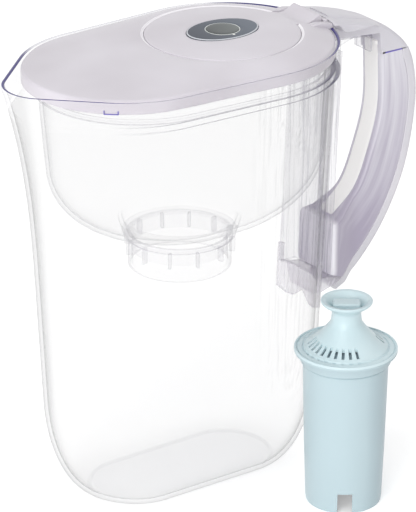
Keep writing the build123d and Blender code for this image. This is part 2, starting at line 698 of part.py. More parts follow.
def cup_ribs():
    """Upright ribs under the cup's step, from the skirt out to the step's edge."""
    ribs = []
    for i in range(CUP_RIBS):
        rib = box(CUP_SKIRT_R - RES_T / 2, CUP_STEP_R, -CUP_RIB_T / 2, CUP_RIB_T / 2,
                  (CUP_BOTTOM_Z + CUP_STEP_Z) / 2, CUP_STEP_Z)
        ribs.append(Rot(0, 0, 360 / CUP_RIBS * (i + 0.5)) * rib)
    return ribs


def make_reservoir():
    cup, bore = filter_cup()
    body = reservoir_core(BOWL_Z, FLANGE_Z, 0.0) + cup
    for rib in cup_ribs():
        body += rib
    hollow = reservoir_core(BOWL_Z + RES_T, FLANGE_Z, RES_T)
    wall_r = end_radius(FLANGE_Z) - WALL_T - RES_GAP - RES_T / 2
    flange = flange_ring(LEDGE_Z, FLANGE_Z, BAND_IN_R - FLANGE_GAP, wall_r)
    collar = flange_ring(FLANGE_Z, COLLAR_Z, COLLAR_R, COLLAR_R - RES_T)
    half = TAB_W / 2 + POCKET_GAP + POCKET_T + FLANGE_GAP
    collar -= box(END_X, RIM_OUT_X, -half, half, FLANGE_Z, COLLAR_Z)
    return body - hollow - bore + flange + collar


# Lid

def lid_outline(z, inset=0.0):
    return spout_outline(z, END_X, LID_R - inset, LID_TAPER, LID_VEE, LID_TIP_X + inset,
                         LID_TIP_R - inset, LID_CORNER_R - inset)


def door_ring_like(wire, z, radius):
    """Circle round the door, cut into arcs that face the edges of the lid's outline."""
    centre = Vector(DOOR_X, 0, z)
    arcs = []
    for edge in wire.edges():
        ends = [edge @ 0, edge @ 0.5, edge @ 1]
        turns = [atan2(p.Y, p.X - DOOR_X) for p in ends]
        arcs.append(Edge.make_three_point_arc(*[centre + Vector(cos(t), sin(t), 0) * radius
                                                for t in turns]))
    return Wire(arcs)


def lid_form(inset, ring_z):
    """Skirt and sloping top, drawn in by the lid's thickness for the inner form."""
    edge_z = LID_EDGE_Z - inset
    rim = lid_outline(edge_z, inset)
    skirt = prism(lid_outline(COLLAR_Z, inset), COLLAR_Z, edge_z)
    ring = door_ring_like(rim, ring_z, DOOR_R + DOOR_GROOVE + DOOR_LAND)
    return skirt + Solid.make_loft([rim, ring], ruled=True)


def hinge_pocket():
    """Open box under the thumb tab, whose cheeks hold the door's pins."""
    half = TAB_W / 2 + POCKET_GAP
    back = END_X + LID_R - LID_T / 2
    front = POCKET_FRONT_X
    top = HINGE_Z + PIN_R
    floor = box(front - POCKET_T, back, -half - POCKET_T, half + POCKET_T,
                POCKET_FLOOR_Z - LID_T, POCKET_FLOOR_Z)
    cheeks = [box(front - POCKET_T, back, side * (half + POCKET_T / 2) - POCKET_T / 2,
                  side * (half + POCKET_T / 2) + POCKET_T / 2, POCKET_FLOOR_Z, top)
              for side in (-1, 1)]
    front_wall = box(front - POCKET_T, front, -half, half, POCKET_FLOOR_Z, POCKET_FRONT_TOP_Z)
    return floor + cheeks[0] + cheeks[1] + front_wall


def make_lid():
    seat_r = DOOR_R + DOOR_GROOVE
    body = lid_form(0.0, DOOR_EDGE_Z) - lid_form(LID_T, DOOR_SEAT_Z - DOOR_SEAT_T)
    body -= disc(DOOR_X, 0, seat_r - DOOR_SEAT, COLLAR_Z, DOOR_TOP_Z)
    body += hinge_pocket() & prism(lid_outline(BAND_Z, LID_T / 2), BAND_Z, DOOR_EDGE_Z)
    body -= disc(DOOR_X, 0, seat_r, DOOR_SEAT_Z, DOOR_TOP_Z)
    half = TAB_W / 2 + POCKET_GAP
    inner_back = END_X + LID_R - LID_T
    body -= box(POCKET_FRONT_X, inner_back, -half, half, POCKET_FLOOR_Z, DOOR_TOP_Z)
    body -= box(SLOT_FRONT_X, inner_back, -half, half, POCKET_FRONT_TOP_Z, DOOR_TOP_Z)
    reach = TAB_W / 2 + POCKET_GAP + POCKET_T + 1
    body -= cross_rod(HINGE_X, HINGE_Z, PIN_R + PIN_PLAY, -reach, reach)
    return body


# Fill door with its indicator

def door_shell():
    """Round plate, domed on top and hollow below."""
    radius = (DOOR_R * DOOR_R + DOOR_DOME * DOOR_DOME) / (2 * DOOR_DOME)
    ball = Pos(DOOR_X, 0, DOOR_TOP_Z - radius) * Sphere(radius)
    body = disc(DOOR_X, 0, DOOR_R, DOOR_SEAT_Z, DOOR_TOP_Z) & ball
    return body - disc(DOOR_X, 0, DOOR_R - DOOR_SEAT, DOOR_SEAT_Z, DOOR_SEAT_Z + DOOR_SEAT_T)


def door_tab():
    """Neck over the hinge and the tab that a thumb presses."""
    front = DOOR_X + DOOR_R - TAB_ROOT
    under = [(HINGE_X + x, HINGE_Z + z) for x, z in TAB_UNDER]
    points = [(front, DOOR_SEAT_Z + DOOR_SEAT_T / 2), (front, DOOR_EDGE_Z),
              (HINGE_X - PIN_R, DOOR_EDGE_Z), (HINGE_X + TAB_DIP[0], HINGE_Z + TAB_DIP[1]),
              (TAB_BACK_X - TAB_LIP, TAB_TOP_Z), (TAB_BACK_X, TAB_TOP_Z - TAB_LIP_DROP),
              (TAB_BACK_X, HINGE_Z - TAB_EDGE_DROP)] + under
    return side_plate(points, TAB_W / 2)


def make_door():
    body = door_shell() + door_tab()
    half = TAB_W / 2
    for side in (-1, 1):
        ends = sorted((side * (half - 1), side * (half + POCKET_GAP + PIN_L - PIN_PLAY)))
        body += cross_rod(HINGE_X, HINGE_Z, PIN_R, *ends)
    body -= oval(PLATE_L + 2 * PLATE_PLAY, PLATE_W + 2 * PLATE_PLAY, PLATE_Z, DOOR_TOP_Z + 1)
    body -= oval(CASE_L + 2 * PLATE_PLAY, CASE_W + 2 * PLATE_PLAY, BAND_Z, DOOR_TOP_Z + 1)
    return body


def make_plate():
    """Oval face of the indicator, with the button's hole, the ring's rebate and the light's hole."""
    plate = oval(PLATE_L, PLATE_W, PLATE_Z, DOOR_TOP_Z)
    plate -= disc(DOOR_X, 0, BUTTON_R + BUTTON_PLAY, PLATE_Z, DOOR_TOP_Z)
    plate -= disc(DOOR_X, 0, RING_R, DOOR_TOP_Z - RING_T, DOOR_TOP_Z)
    return plate - disc(DOOR_X, -LIGHT_OUT, PIPE_R, PLATE_Z, DOOR_TOP_Z)


def make_ring():
    """Pale trim ring round the button."""
    return (disc(DOOR_X, 0, RING_R, DOOR_TOP_Z - RING_T, DOOR_TOP_Z)
            - disc(DOOR_X, 0, BUTTON_R + BUTTON_PLAY, DOOR_TOP_Z - RING_T, DOOR_TOP_Z))


def make_case():
    """Oval tube that hangs from the plate, with a shelf for the circuit board."""
    inner_l, inner_w = CASE_L - 2 * CASE_T, CASE_W - 2 * CASE_T
    body = oval(CASE_L, CASE_W, CASE_BOTTOM_Z, PLATE_Z)
    body -= oval(inner_l, inner_w, BOARD_Z, PLATE_Z)
    body -= oval(inner_l - 2 * BOARD_SHELF, inner_w - 2 * BOARD_SHELF, CASE_BOTTOM_Z, BOARD_Z)
    return body


def make_board():
    inner_l, inner_w = CASE_L - 2 * CASE_T, CASE_W - 2 * CASE_T
    return oval(inner_l - 2 * PLATE_PLAY, inner_w - 2 * PLATE_PLAY, BOARD_Z, BOARD_Z + BOARD_T)


def make_switch():
    """Small push switch on the board under the button's stem."""
    half = SWITCH_W / 2
    base = BOARD_Z + BOARD_T
    body = box(DOOR_X - half, DOOR_X + half, -half, half, base, base + SWITCH_T)
    return body + disc(DOOR_X, 0, PLUNGER_R, base + SWITCH_T, base + SWITCH_T + PLUNGER_H)


def make_button():
    """Round button, kept under the plate by its flange, with a stem over the switch."""
    flange_top = PLATE_Z - PLATE_PLAY
    flange_low = flange_top - BUTTON_FLANGE_T
    body = disc(DOOR_X, 0, BUTTON_R, flange_low, DOOR_TOP_Z + BUTTON_PROUD)
    body += disc(DOOR_X, 0, BUTTON_R + BUTTON_FLANGE, flange_low, flange_top)
    return body + disc(DOOR_X, 0, STEM_R, STEM_Z, flange_top)


def make_light():
    base = BOARD_Z + BOARD_T
    dome_z = PIPE_Z - LIGHT_R
    dome = Pos(DOOR_X, -LIGHT_OUT, dome_z) * Sphere(LIGHT_R)
    return disc(DOOR_X, -LIGHT_OUT, LIGHT_R, base, dome_z) + dome


def make_cell():
    return disc(DOOR_X, 0, CELL_R, CASE_BOTTOM_Z, CASE_BOTTOM_Z + CELL_T)


def make_contact():
    """Sprung strip that lies on the cell and rises to the board."""
    low = CASE_BOTTOM_Z + CELL_T
    half = CONTACT_W / 2
    strip = box(DOOR_X - CELL_R / 2, DOOR_X + CELL_R, -half, half, low, low + CONTACT_T)
    return strip + box(DOOR_X + CELL_R - CONTACT_T, DOOR_X + CELL_R, -half, half, low, BOARD_Z)


# Filter cartridge

def make_cup():
    """Tapered cup of the cartridge, with a rim, an open foot and a notch."""
    outer = [(CART_FOOT_R, 0), (CART_KNEE_R, CART_KNEE_Z), (CART_TOP_R, CART_RIM_Z),
             (CART_RIM_R, CART_RIM_Z), (CART_RIM_R, CART_RIM_Z + CART_RIM_T / 2)]
    inner = [(CART_TOP_R - CART_T, CART_RIM_Z + CART_RIM_T / 2), (CART_TOP_R - CART_T, CART_RIM_Z),
             (CART_KNEE_R - CART_T, CART_KNEE_Z), (CART_FOOT_R - CART_T, 0)]
    body = turned(outer + inner, CART_X, CART_Y)
    notch = box(0, CART_KNEE_R * 2, -NOTCH_W / 2, NOTCH_W / 2, 0, NOTCH_H)
    shelf_z = MEDIA_BOTTOM_Z - SCREEN_T
    shelf_r = CART_FOOT_R + (CART_KNEE_R - CART_FOOT_R) * shelf_z / CART_KNEE_Z
    in_wall = shelf_r - CART_T / 2
    inner = in_wall - CART_T / 2 - SHELF_W
    shelf = turned([(inner, shelf_z - CART_T), (in_wall, shelf_z - CART_T),
                    (in_wall, shelf_z), (inner, shelf_z)], CART_X, CART_Y)
    return body + shelf - Pos(CART_X, CART_Y, 0) * Rot(0, 0, NOTCH_TURN) * notch


def make_cap():
    """Slotted cone on a flat rim, with a funnel-shaped knob and a flat block to grip."""
    base = CART_RIM_Z + CART_RIM_T / 2
    top = CART_RIM_Z + CART_RIM_T
    groove = top - CART_GROOVE_T
    cone = [(CART_RIM_R, base), (CART_RIM_R, top), (CART_GROOVE_R + CART_GROOVE_T, top),
            (CART_GROOVE_R, groove), (CONE_FOOT_R, groove), (CONE_FOOT_R, CONE_FOOT_Z),
            (CONE_MID_R, CONE_MID_Z), (NECK_R, NECK_Z - NECK_H), (NECK_R, NECK_Z),
            (KNOB_R, KNOB_Z - KNOB_RIM_T), (KNOB_R, KNOB_Z),
            (FUNNEL_R, KNOB_Z), (NECK_R - CART_T, FUNNEL_Z), (NECK_R - CART_T, NECK_Z - NECK_H),
            (CONE_MID_R - CART_T, CONE_MID_Z - CART_T), (CONE_FOOT_R - CART_T, CONE_FOOT_Z - CART_T),
            (CONE_FOOT_R - CART_T, base)]
    body = turned(cone, CART_X, CART_Y)
    floor = disc(CART_X, CART_Y, NECK_R, FUNNEL_Z - CART_T, FUNNEL_Z)
    block = box(-FUNNEL_R, FUNNEL_R, -GRIP_BLOCK_T / 2, GRIP_BLOCK_T / 2, FUNNEL_Z, KNOB_Z)
    funnel = disc(0, 0, FUNNEL_R, FUNNEL_Z, KNOB_Z)
    body += floor
    body += Pos(CART_X, CART_Y, 0) * Rot(0, 0, GRIP_TURN) * (block & funnel)
    for slot in cap_slots():
        body -= slot
    return body


def cap_slots():
    """Two fans of long slots down the cone, one on each side."""
    slots = []
    for side in (0, 180):
        for i in range(SLOT_COUNT):
            turn = side + (i - (SLOT_COUNT - 1) / 2) * SLOT_PITCH + SLOT_TURN
            slot = box(CONE_MID_R - SLOT_IN, CONE_FOOT_R - SLOT_OUT, -SLOT_W / 2, SLOT_W / 2,
                       CONE_FOOT_Z, CONE_MID_Z + SLOT_RISE)
            slots.append(Pos(CART_X, CART_Y, 0) * Rot(0, 0, turn) * slot)
    return slots


def cup_bore(z):
    """Inner radius of the cartridge's cup at height z."""
    if z < CART_KNEE_Z:
        return CART_FOOT_R - CART_T + (CART_KNEE_R - CART_FOOT_R) * z / CART_KNEE_Z
    share = (z - CART_KNEE_Z) / (CART_RIM_Z - CART_KNEE_Z)
    return CART_KNEE_R - CART_T + (CART_TOP_R - CART_KNEE_R) * share


def make_screen(z):
    return disc(CART_X, CART_Y, cup_bore(z) - CART_PLAY, z, z + SCREEN_T)


def make_media():
    """Granules, as one plug that fills the cup between its screens."""
    low, high = MEDIA_BOTTOM_Z, MEDIA_TOP_Z
    return turned([(0, low), (cup_bore(low) - CART_PLAY, low),
                   (cup_bore(CART_KNEE_Z) - CART_PLAY, CART_KNEE_Z),
                   (cup_bore(high) - CART_PLAY, high), (0, high)], CART_X, CART_Y)


def save(node, shape):
    """Writes one node and prints its volume."""
    shape.label = node
    export_step(shape, os.path.join("parts", node + ".step"))
    print(node, "solids", len(shape.solids()), "volume", round(shape.volume))


handle_frame, handle_cover, handle_liner = make_handle()
save("jug", make_jug())
save("handle_frame", handle_frame)
save("handle_cover", handle_cover)
save("handle_liner", handle_liner)
save("reservoir", make_reservoir())
save("lid", make_lid())
save("fill_door", make_door())
save("indicator_plate", make_plate())
save("button_ring", make_ring())
save("status_button", make_button())
save("indicator_case", make_case())
save("case_cover", oval(CASE_L, CASE_W, CASE_BOTTOM_Z - CASE_COVER_T, CASE_BOTTOM_Z))
save("circuit_board", make_board())
save("tact_switch", make_switch())
save("indicator_light", make_light())
save("light_pipe", disc(DOOR_X, -LIGHT_OUT, PIPE_R, PIPE_Z, DOOR_TOP_Z))
save("coin_cell", make_cell())
save("battery_contact", make_contact())
save("cartridge_cup", make_cup())
save("cartridge_cap", make_cap())
save("inlet_screen", make_screen(MEDIA_TOP_Z))
save("filter_media", make_media())
save("outlet_screen", make_screen(MEDIA_BOTTOM_Z - SCREEN_T))
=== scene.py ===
from math import asin, atan2, cos, degrees, hypot, pi, radians, sin, sqrt, tan

import bmesh
import bpy
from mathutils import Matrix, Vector


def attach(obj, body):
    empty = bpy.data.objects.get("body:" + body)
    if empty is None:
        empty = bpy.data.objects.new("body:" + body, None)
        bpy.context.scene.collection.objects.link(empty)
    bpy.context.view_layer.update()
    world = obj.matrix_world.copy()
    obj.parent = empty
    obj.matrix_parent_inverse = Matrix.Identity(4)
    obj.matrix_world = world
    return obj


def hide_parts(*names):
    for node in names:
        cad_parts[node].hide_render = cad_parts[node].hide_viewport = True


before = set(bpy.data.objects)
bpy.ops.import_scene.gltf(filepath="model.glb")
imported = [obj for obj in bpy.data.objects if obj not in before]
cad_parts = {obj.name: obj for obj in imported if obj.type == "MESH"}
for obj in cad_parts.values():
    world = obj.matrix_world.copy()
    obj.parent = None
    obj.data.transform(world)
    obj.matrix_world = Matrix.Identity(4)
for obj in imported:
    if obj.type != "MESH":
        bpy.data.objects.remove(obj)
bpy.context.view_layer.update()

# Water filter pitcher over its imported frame. Sizes are in millimetres until a piece is made,
# which puts them in metres. +X is the handle, -X the spout.

MM = 0.001

# Sizes, most of which the frame has too. First the jug's
END_X = 33.15            # middle of the round end under the handle
END_R = 53.3             # its radius at the table
END_FLARE = 0.045        # how that radius grows with height
FRONT_ROUND = 0.93       # share of it that the front end is rounded by below the spout
SIDE_TAPER = 0.3
SPOUT_TAPER = 2.5        # further taper of the sides at the rim
SPOUT_Z = 134.0          # where the spout leaves the wall
SPOUT_POWER = 2.87       # how late it does so
SPOUT_REACH = 118.0
SPOUT_VEE = 45.0
SPOUT_TIP_R = 25.0
SPOUT_CORNER_R = 65.0
HEEL_DRAW = 26.0
HEEL_H = 56.5
HEEL_STEPS = 14
WALL_T = 2.5
FLOOR_T = 3.0
WALL_LEVELS = (76, 96, 116, 134, 146, 158, 169, 180, 190, 200, 209, 218, 227, 236)
RIM_Z = 272.0
BAND_R = 68.0
BAND_Z = 253.5
BAND_IN_R = 65.5
LEDGE_Z = 256.0
RIM_IN_X = END_X + BAND_IN_R
RIM_OUT_X = END_X + BAND_R
PAD_W = 37.0
PAD_PROUD = 8.75
PAD_BOTTOM_Z = 110.0
LUG_REACH = 30.0
LUG_HALF = 8.0
LUG_T = 2.0
LUG_DROP = 12.0
LUG_ROOT_DROP = 14.4
ARM_LOW_Z = 260.5        # the arm's underside at the rim
ARM_SLOPE = 0.09

# The handle's
HANDLE_W = 21.0
ARM_HALF = 19.5          # where the arm covers the rim
ARM_WIDE_X = 119.0
ARM_NARROW_X = 139.0
ARM_CORNER_X = 140.5
TONGUE_LOW_Z = 266.3
PANEL_TOP_Z = 244.0
BACK_CURVE = ((RIM_IN_X, 276.3), (118.0, 272.2), (137.0, 265.5), (153.0, 255.0), (165.0, 241.5),
              (170.4, 219.0), (169.3, 193.5), (162.2, 161.7), (147.4, 131.6), (129.1, 109.1),
              (110.4, 94.2))
GRIP_FRONT = ((142.0, 243.0), (142.2, 208.0), (135.2, 181.5), (125.0, 158.4), (108.5, 144.0))
GRIP_FAR_X = 122.0       # the handle starts to flare out to the pad here
FLARE_LOW_Z = 93.0
FLARE_RISE = 19.0
FLARE_END_Z = 148.0
FLARE_TOP_Z = 156.0
COVER_T = 7.2
LINER_HALF = 7.1
LINER_TOP = ((140.2, 251.0), (141.6, 247.5))
SADDLE_HALF = 21.0
SADDLE_T = 2.6
SADDLE_TOP_Z = 121.0
SADDLE_NOTCH_Z = 96.4
SADDLE_LOBE_Z = 89.5
SADDLE_EDGE = ((0.0, SADDLE_NOTCH_Z), (8.0, SADDLE_LOBE_Z), (14.0, SADDLE_LOBE_Z), (SADDLE_HALF, 92.5))

# The reservoir's
RES_GAP = 0.8
RES_SIDE_GAP = 0.3       # further gap at the narrow end
RES_T = 2.0
RES_LEFT_X = -27.9
RES_LEAN = 0.07
BOWL_TOP_Z = 208.0
BOWL_STEPS = 12
BOWL_MOUTH_X = 1.0
BOWL_MOUTH_R = 37.5
COLLAR_R = 64.4
COLLAR_Z = 264.0
CUP_OUTSIDE = ((30.6, 138.0), (31.0, 138.4), (31.0, 146), (31.0, 155.6), (31.4, 156.6), (32.4, 157.0),
               (33.2, 157.0), (33.7, 157.6), (34.4, 160), (35.6, 164), (36.5, 167.0), (36.9, 167.8))
CUP_INSIDE = ((34.8, 169.6), (34.2, 168.0), (32.6, 163), (31.5, 159.4), (31.2, 159.0), (29.2, 159.0),
              (28.8, 158.6), (28.8, 148), (28.8, 138.4), (29.2, 138.0))
RIBS = 12

# The lid's and the door's
LID_R = 64.7
LID_BACK_X = END_X + LID_R
LID_TIP_X = -98.3
LID_TIP_R = 58.0
LID_CORNER_R = 56.0
LID_TAPER = 3.3
LID_VEE = 41.6
LID_LOW_Z = 264.0
LID_SKIRT_Z = 270.5
LID_ROUND = 2.0
LID_SHOULDER_Z = LID_SKIRT_Z + LID_ROUND
DOOR_X = 31.0
DOOR_R = 46.3
DOOR_EDGE_Z = 277.0
DOOR_TOP_Z = 279.4
DOOR_SEAT_Z = 275.2
HINGE_X = 79.0
HINGE_Z = 274.5
PIN_R = 1.35
TAB_HALF = 13.0
SLOT_HALF = 13.4         # the slot in the lid that the tab lies in
SLOT_X = 73.5
CHEEK_HALF = 16.0
PRONG_Y = 16.7
CATCH_X = -77.5
CATCH_Z = 263.9
PLATE_A = 23.0
PLATE_B = 16.5
BUTTON_R = 9.7
LIGHT_R = 1.05
LIGHT_Y = -11.6

# The cartridge's
CART_X = 58.7
CART_Y = -88.1
CART_AT = (CART_X, CART_Y)
CART_T = 1.4
CART_NOTCH_TURN = 235.0
CAP_R = 30.8
CAP_Z = 99.12
CAP_SLOTS = 10
CAP_SLOT_STEP = 11.6
CAP_SLOT_TURN = 199.2
GRIP_TURN = -38.0

# Slots of a piece's materials, in the order in which the piece is given them
WALL, BAND, RIM, LEDGE, FLOOR = range(5)
PLAIN, LINE = range(2)


# Outlines

def arc_points(centre, radius, start, end, steps):
    """Points after the first one of an arc, with its angles in degrees from +X."""
    turns = [radians(start + (end - start) * i / steps) for i in range(1, steps + 1)]
    return [(centre[0] + radius * cos(t), centre[1] + radius * sin(t)) for t in turns]


def line_points(a, b, steps):
    return [(a[0] + (b[0] - a[0]) * i / steps, a[1] + (b[1] - a[1]) * i / steps)
            for i in range(1, steps + 1)]


def quarter_round(start, end, steps):
    """Points of a quarter ellipse from start to end, leaving start along its second axis."""
    turns = [pi / 2 * i / steps for i in range(1, steps + 1)]
    return [(start[0] + (end[0] - start[0]) * (1 - cos(t)), start[1] + (end[1] - start[1]) * sin(t))
            for t in turns]


def mirrored(half):
    """Closed outline from its half above the X axis, which starts and ends on that axis."""
    return half + [(x, -y) for x, y in reversed(half[1:-1])]


def raised(outline, z):
    return [(x, y, z) for x, y in outline]


def mixed(a, b, share):
    return [tuple(p + (q - p) * share for p, q in zip(pa, pb)) for pa, pb in zip(a, b)]


def in_fours(ring):
    """Adds points after the last one until their number divides by four."""
    while len(ring) % 4:
        ring.append(tuple((p + q) / 2 for p, q in zip(ring[-1], ring[0])))
    return ring


def shift(rings, dx, dy=0.0):
    return [[(x + dx, y + dy, z) for x, y, z in ring] for ring in rings]


def oval_outline(a, b, steps=144):
    return [(a * cos(2 * pi * i / steps), b * sin(2 * pi * i / steps)) for i in range(steps)]


def ovals(sizes):
    return [raised(oval_outline(a, b), z) for a, b, z in sizes]


def discs(sizes, steps=144):
    return [raised(oval_outline(r, r, steps), z) for r, z in sizes]


def spout_outline(end_x, end_r, taper, vee, tip_x, tip_r, corner_r):
    """Round end, sides that taper in, rounded corners, straight flanks and a round tip."""
    lean, rise = radians(taper), radians(vee)
    side = (end_x - end_r * sin(lean), end_r * cos(lean))
    tip = (tip_x + tip_r, 0.0)
    flank = (tip[0] + tip_r * cos(radians(90 + vee)), tip_r * sin(radians(90 + vee)))
    cross = cos(lean) * sin(rise) - sin(lean) * cos(rise)
    between = (flank[0] - side[0], flank[1] - side[1])
    reach = (between[0] * sin(rise) - between[1] * cos(rise)) / cross
    corner = (side[0] + cos(lean) * reach, side[1] + sin(lean) * reach)
    cut_back = corner_r * tan((rise - lean) / 2)
    corner_a = (corner[0] + cos(lean) * cut_back, corner[1] + sin(lean) * cut_back)
    centre = (corner_a[0] + sin(lean) * corner_r, corner_a[1] - cos(lean) * corner_r)
    half = [(end_x + end_r, 0.0)]
    half += arc_points((end_x, 0.0), end_r, 0, 90 + taper, 36)
    half += line_points(half[-1], corner_a, 6)
    half += arc_points(centre, corner_r, 90 + taper, 90 + vee, 10)
    half += line_points(half[-1], flank, 4)
    half += arc_points(tip, tip_r, 90 + vee, 180, 16)
    half[-1] = (tip_x, 0.0)
    return mirrored(half)


def two_round(right_x, right_r, left_x, left_r):
    """Two round ends joined by the straight sides that touch both."""
    apart = right_x - left_x
    turn = 90 + degrees(asin((right_r - left_r) / apart)) if apart else 90
    half = [(right_x + right_r, 0.0)]
    half += arc_points((right_x, 0.0), right_r, 0, turn, 36)
    start = half[-1]
    left = (left_x + left_r * cos(radians(turn)), left_r * sin(radians(turn)))
    half += line_points(start, left, 12) if apart else [start] * 12
    half += arc_points((left_x, 0.0), left_r, turn, 180, 24)
    half[-1] = (left_x - left_r, 0.0)
    return mirrored(half)


# The jug's form, which the reservoir and the handle follow

def end_radius(z):
    return END_R + END_FLARE * z


def pad_face_x(z):
    return END_X + end_radius(z) + PAD_PROUD


def spout_share(z):
    """0 up to where the spout starts, 1 at the rim."""
    return max(0.0, (z - SPOUT_Z) / (RIM_Z - SPOUT_Z)) ** SPOUT_POWER


def side_taper(z):
    return SIDE_TAPER + SPOUT_TAPER * spout_share(z)


def arm_underside(x):
    return ARM_LOW_Z - ARM_SLOPE * (x - RIM_OUT_X)


def jug_ring(z, inset=0.0, drawn_in=0.0, end_r=None, at=None):
    """The wall's outline for a height, moved in by an inset and drawn in at the heel. end_r is
    another radius for the round end, and at is another height to put the ring at."""
    share = spout_share(z)
    wall_r = end_radius(z) - inset - drawn_in
    front_r = FRONT_ROUND * wall_r * (1 - share)
    tip_x = -(END_X + wall_r) * (1 - share) - (SPOUT_REACH - inset) * share
    outline = spout_outline(END_X, end_r or wall_r, side_taper(z), SPOUT_VEE - share, tip_x,
                            front_r + (SPOUT_TIP_R - inset) * share,
                            front_r + (SPOUT_CORNER_R - inset) * share)
    return raised(outline, z if at is None else at)


# Modelling

def clear_selection():
    if bpy.context.object and bpy.context.object.mode != "OBJECT":
        bpy.ops.object.mode_set(mode="OBJECT")
    bpy.ops.object.select_all(action="DESELECT")


def select_only(piece):
    clear_selection()
    piece.select_set(True)
    bpy.context.view_layer.objects.active = piece


def smooth(angle=35):
    bpy.ops.object.shade_smooth_by_angle(angle=radians(angle))


def finish_mesh(piece, name, angle=35):
    """Normals outward, smooth by angle, and named."""
    bpy.ops.object.mode_set(mode="EDIT")
    bpy.ops.mesh.select_all(action="SELECT")
    bpy.ops.mesh.normals_make_consistent(inside=False)
    bpy.ops.object.mode_set(mode="OBJECT")
    bpy.ops.object.transform_apply(location=True, rotation=True, scale=True)
    smooth(angle)
    piece.name = name
    piece.data.name = name
    return piece


def close_ends(piece, count, joined):
    """Gives the first and the last ring of a skin a face each, or bridges the two."""
    def pick(is_end):
        mesh = bmesh.from_edit_mesh(piece.data)
        ends = [e for e in mesh.edges if len(e.link_faces) < 2 and is_end(e.verts[0].index)]
        for part in (*mesh.verts, *mesh.edges, *mesh.faces):
            part.select = False
        for e in ends:
            e.select = True
        bmesh.update_edit_mesh(piece.data)
        bpy.ops.mesh.select_mode(type="EDGE")

    if joined:
        pick(lambda index: True)
        bpy.ops.mesh.bridge_edge_loops()
        return
    for is_end in (lambda index: index < count, lambda index: index >= count):
        pick(is_end)
        bpy.ops.mesh.edge_face_add()


def draw_rings(name, rings, joined=False, slots=None, angle=35):
    """One skin over closed rings of points: a circle is extruded ring by ring and each ring is
    laid on its outline. A ring has a multiple of four points, so that its points and the circle's
    agree. The ends are closed, or joined to each other. slots gives a material index for each band
    between two rings."""
    clear_selection()
    count, step = len(rings[0]), 0.01
    bpy.ops.mesh.primitive_circle_add(vertices=count, radius=0.1, location=(0, 0, 0))
    piece = bpy.context.object
    bpy.ops.object.mode_set(mode="EDIT")
    bpy.ops.mesh.select_all(action="SELECT")
    for _ in rings[1:]:
        bpy.ops.mesh.extrude_region_move(TRANSFORM_OT_translate={"value": (0, 0, step)})
    mesh = bmesh.from_edit_mesh(piece.data)
    around = mesh.verts.layers.float.new("around")
    along = mesh.verts.layers.float.new("along")
    for v in mesh.verts:
        level = round(v.co.z / step)
        place = round((atan2(v.co.y, v.co.x) % (2 * pi)) / (2 * pi / count)) % count
        v[around] = min(place, count - place) / count
        v[along] = level / len(rings)
        v.co = Vector(rings[level][place]) * MM
    mesh.verts.ensure_lookup_table()
    if slots:
        for f in mesh.faces:
            f.material_index = slots[min(v.index // count for v in f.verts)]
    bmesh.update_edit_mesh(piece.data)
    close_ends(piece, count, joined)
    bpy.ops.object.mode_set(mode="OBJECT")
    return finish_mesh(piece, name, angle)


def laid_circle(points):
    """A circle primitive in edit mode, selected, with a vertex laid on each of the points."""
    clear_selection()
    bpy.ops.mesh.primitive_circle_add(vertices=len(points), radius=0.1, location=(0, 0, 0))
    piece = bpy.context.object
    bpy.ops.object.mode_set(mode="EDIT")
    mesh = bmesh.from_edit_mesh(piece.data)
    ordered = sorted(mesh.verts, key=lambda v: atan2(v.co.y, v.co.x) % (2 * pi))
    for v, point in zip(ordered, points):
        v.co = Vector(point) * MM
    bmesh.update_edit_mesh(piece.data)
    bpy.ops.mesh.select_all(action="SELECT")
    return piece


def spun(name, profile, centre=(0.0, 0.0), steps=96):
    """Closed (radius, height) profile turned about an upright axis."""
    piece = laid_circle([(centre[0] + r, centre[1], z) for r, z in profile])
    bpy.ops.mesh.spin(steps=steps, angle=2 * pi, center=(centre[0] * MM, centre[1] * MM, 0),
                      axis=(0, 0, 1))
    bpy.ops.mesh.select_all(action="SELECT")
    bpy.ops.mesh.remove_doubles(threshold=0.000005)
    bpy.ops.object.mode_set(mode="OBJECT")
    return finish_mesh(piece, name)


def plate(name, points, half_width, bevel, y=0.0):
    """Side view polygon of (distance, height) points, drawn out to both sides."""
    piece = laid_circle([(px, y - half_width, pz) for px, pz in points])
    bpy.ops.mesh.edge_face_add()
    bpy.ops.mesh.extrude_region_move(TRANSFORM_OT_translate={"value": (0, 2 * half_width * MM, 0)})
    bpy.ops.object.mode_set(mode="OBJECT")
    finish_mesh(piece, name)
    round_edges(piece, bevel)
    return piece


def rod(name, x, z, radius, y0, y1, steps=24):
    """Round pin along Y with eased ends."""
    ease = 0.3
    rings = []
    for y, r in ((y0, radius - ease), (y0 + ease, radius), (y1 - ease, radius), (y1, radius - ease)):
        rings.append([(x + a, y, z + b) for a, b in oval_outline(r, r, steps)])
    return draw_rings(name, rings)


def use_modifier(piece, kind, **settings):
    select_only(piece)
    modifier = piece.modifiers.new(kind.title(), kind)
    for key, value in settings.items():
        setattr(modifier, key, value)
    bpy.ops.object.modifier_apply(modifier=modifier.name)


def round_edges(piece, size, steps=3, angle=40):
    use_modifier(piece, "BEVEL", width=size * MM, segments=steps, limit_method="ANGLE",
                 angle_limit=radians(angle))
    smooth()


def cut(piece, tool):
    """Takes the tool's form out of the piece and deletes the tool."""
    use_modifier(piece, "BOOLEAN", operation="DIFFERENCE", object=tool, solver="EXACT")
    bpy.data.objects.remove(tool, do_unlink=True)
    smooth()


